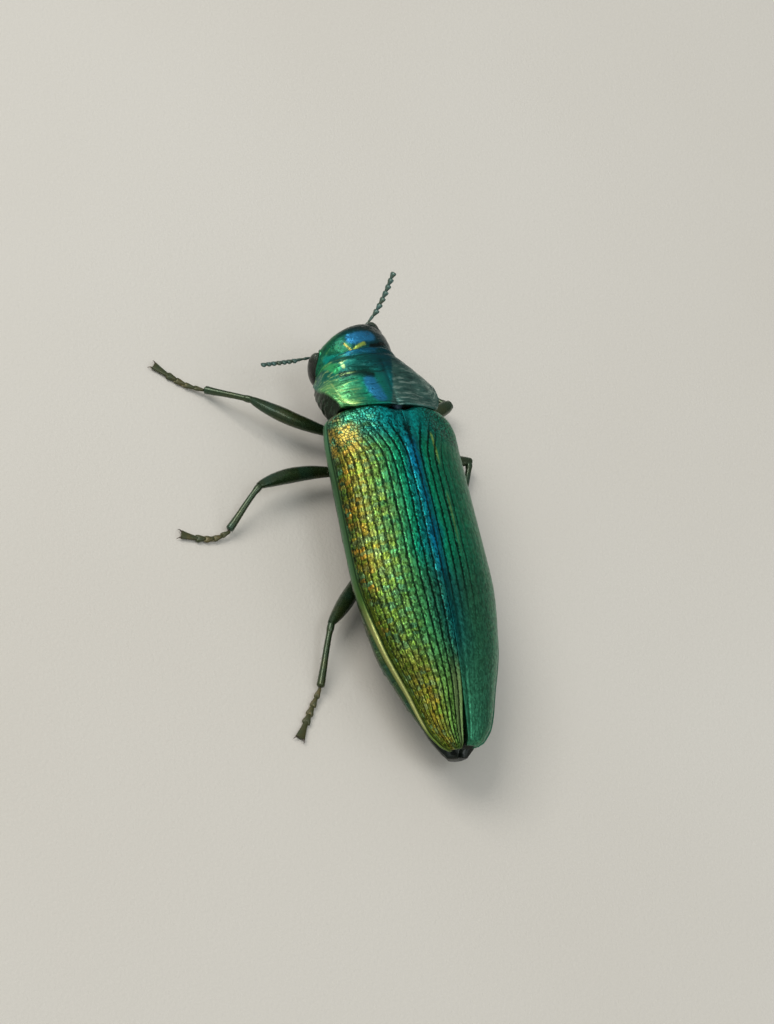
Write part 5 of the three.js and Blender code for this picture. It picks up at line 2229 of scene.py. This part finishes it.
    def claw_tube(self, start: Array, ahead: Array, bend: int) -> Piece:
        """One claw, curving out and down to the floor."""
        across = np.cross(ahead, (0, 0, 1.0))
        share = np.linspace(0, 1, 10)[:, None]
        line = start + ahead * self.claw * 0.75 * share + across * bend * (
            0.1 + self.claw_spread * share ** 0.7
        )
        line[:, 2] = 0.1 + 0.09 * np.sin(2.2 * share[:, 0]) - 0.09 * share[:, 0] ** 2
        line[:, 2] = np.maximum(line[:, 2], 0.02)
        side = "a" if bend < 0 else "b"
        piece = tube(
            f"claw_{self.word}_{side}", line,
            tapered((0.055, 0.008), (0.05, 0.008), 0.8), 16, 26,
        )
        return dress(piece, CLAW)


# ---- studio ---------------------------------------------------------------------------------
@dataclass
class Studio:
    """The floor, the lights and the camera."""

    towards_camera: tuple[float, float, float] = (0.4542, 0.4236, 0.7837)
    camera_right: tuple[float, float, float] = (-0.8907, 0.1972, 0.4096)
    camera_down: tuple[float, float, float] = (-0.019, 0.8841, -0.4669)
    aim: tuple[float, float, float] = (-0.181, 3.454, -1.762)
    distance: float = 150.0
    lens: float = 114.26
    floor_size: float = 1.2

    def build(self) -> None:
        """Makes the whole studio."""
        self.camera()
        self.floor()
        self.lights()
        self.sky()

    def camera(self) -> None:
        """A long lens, above and behind the beetle's left side."""
        axes = np.array([self.camera_right, [-v for v in self.camera_down], self.towards_camera]).T
        spot = np.array(self.aim) + self.distance * np.array(self.towards_camera)
        place = np.eye(4)
        place[:3, :3] = TRUNK[:3, :3] @ axes
        place[:3, 3] = through(TRUNK, spot) * MM
        data = bpy.data.cameras.new("camera")
        data.lens = self.lens
        data.sensor_width = 36.0
        data.clip_start = 0.005
        camera = bpy.data.objects.new("camera", data)
        camera.matrix_world = Matrix(place.tolist())
        bpy.context.scene.collection.objects.link(camera)
        bpy.context.scene.camera = camera

    def floor(self) -> None:
        """A plain pale floor."""
        half = 0.5 * self.floor_size
        mesh = bpy.data.meshes.new("studio_floor")
        corners = [(-half, -half, 0), (half, -half, 0), (half, half, 0), (-half, half, 0)]
        mesh.from_pydata(corners, [], [(0, 1, 2, 3)])
        mesh.materials.append(FLOOR.material())
        floor = bpy.data.objects.new("studio_floor", mesh)
        bpy.context.scene.collection.objects.link(floor)

    def lights(self) -> None:
        """Soft boxes: a key from the head's left, a weak fill and a cool strip above."""
        self.soft_box("key", (0.16, -0.12, 0.22), 0.16, 0.42, (1.0, 0.97, 0.92))
        self.soft_box("fill", (-0.2, 0.16, 0.2), 0.2, 0.10, (0.9, 0.95, 1.0))
        self.soft_box("top", (0.0, 0.1, 0.3), 0.12, 0.14, (0.9, 0.96, 1.0))

    @staticmethod
    def soft_box(
        name: str, place: tuple[float, float, float], size: float, power_watts: float,
        colour: tuple[float, float, float],
    ) -> None:
        """A square light that faces the beetle."""
        data = bpy.data.lights.new(name, "AREA")
        data.size = size
        data.energy = power_watts
        data.color = colour
        lamp = bpy.data.objects.new(name, data)
        aim = (-Vector(place)).to_track_quat("-Z", "Y").to_matrix().to_4x4()
        lamp.matrix_world = Matrix.Translation(place) @ aim
        bpy.context.scene.collection.objects.link(lamp)

    @staticmethod
    def sky() -> None:
        """A pale room that is brighter above and on the beetle's left."""
        world = bpy.data.worlds.new("room")
        world.use_nodes = True
        world.node_tree.nodes.clear()
        hand = Wiring(world.node_tree)
        direction = hand.add("ShaderNodeTexCoord").outputs["Generated"]
        x, _, z = hand.split(direction)
        shade = hand.plus(hand.times(z, 0.6), hand.times(x, 0.35))
        colour = hand.ramp(hand.plus(hand.times(shade, 0.5), 0.5), (
            (0.0, "#5a5f60"), (0.45, "#8d9290"), (0.7, "#c4c8c6"), (1.0, "#f2f4f4"),
        ))
        light = hand.put("ShaderNodeBackground", {"Color": colour, "Strength": 0.75})
        hand.put("ShaderNodeOutputWorld", {"Surface": light.outputs[0]})
        bpy.context.scene.world = world


# ---- assembly -------------------------------------------------------------------------------
STOUT_KNEE = 0.13  # how much thicker the front right thigh ends, as a share of its girth


def main() -> None:
    """Builds the beetle and the studio round it."""
    logging.basicConfig(level=logging.INFO, format="%(message)s")
    bpy.context.scene.view_settings.view_transform = "Standard"
    Studio().build()
    WingCase(Side.LEFT, LIT_LEFT_CASE, tip_spread=0.2, tip_reach=0.3, joint_depth=0.014).build()
    WingCase(Side.RIGHT, SHADED_RIGHT_CASE, tip_spread=0.08, tip_reach=0.15, joint_depth=0.0).build()
    CollarShield().build()
    ScutellumPlate().build()
    UnderBody().build()
    Head().build()
    for place in ("front", "middle", "hind"):
        for side in Side:
            club = STOUT_KNEE if (place, side) == ("front", Side.RIGHT) else 0.0
            Leg(place, side, club=club).build()


if __name__ == "__main__":
    main()
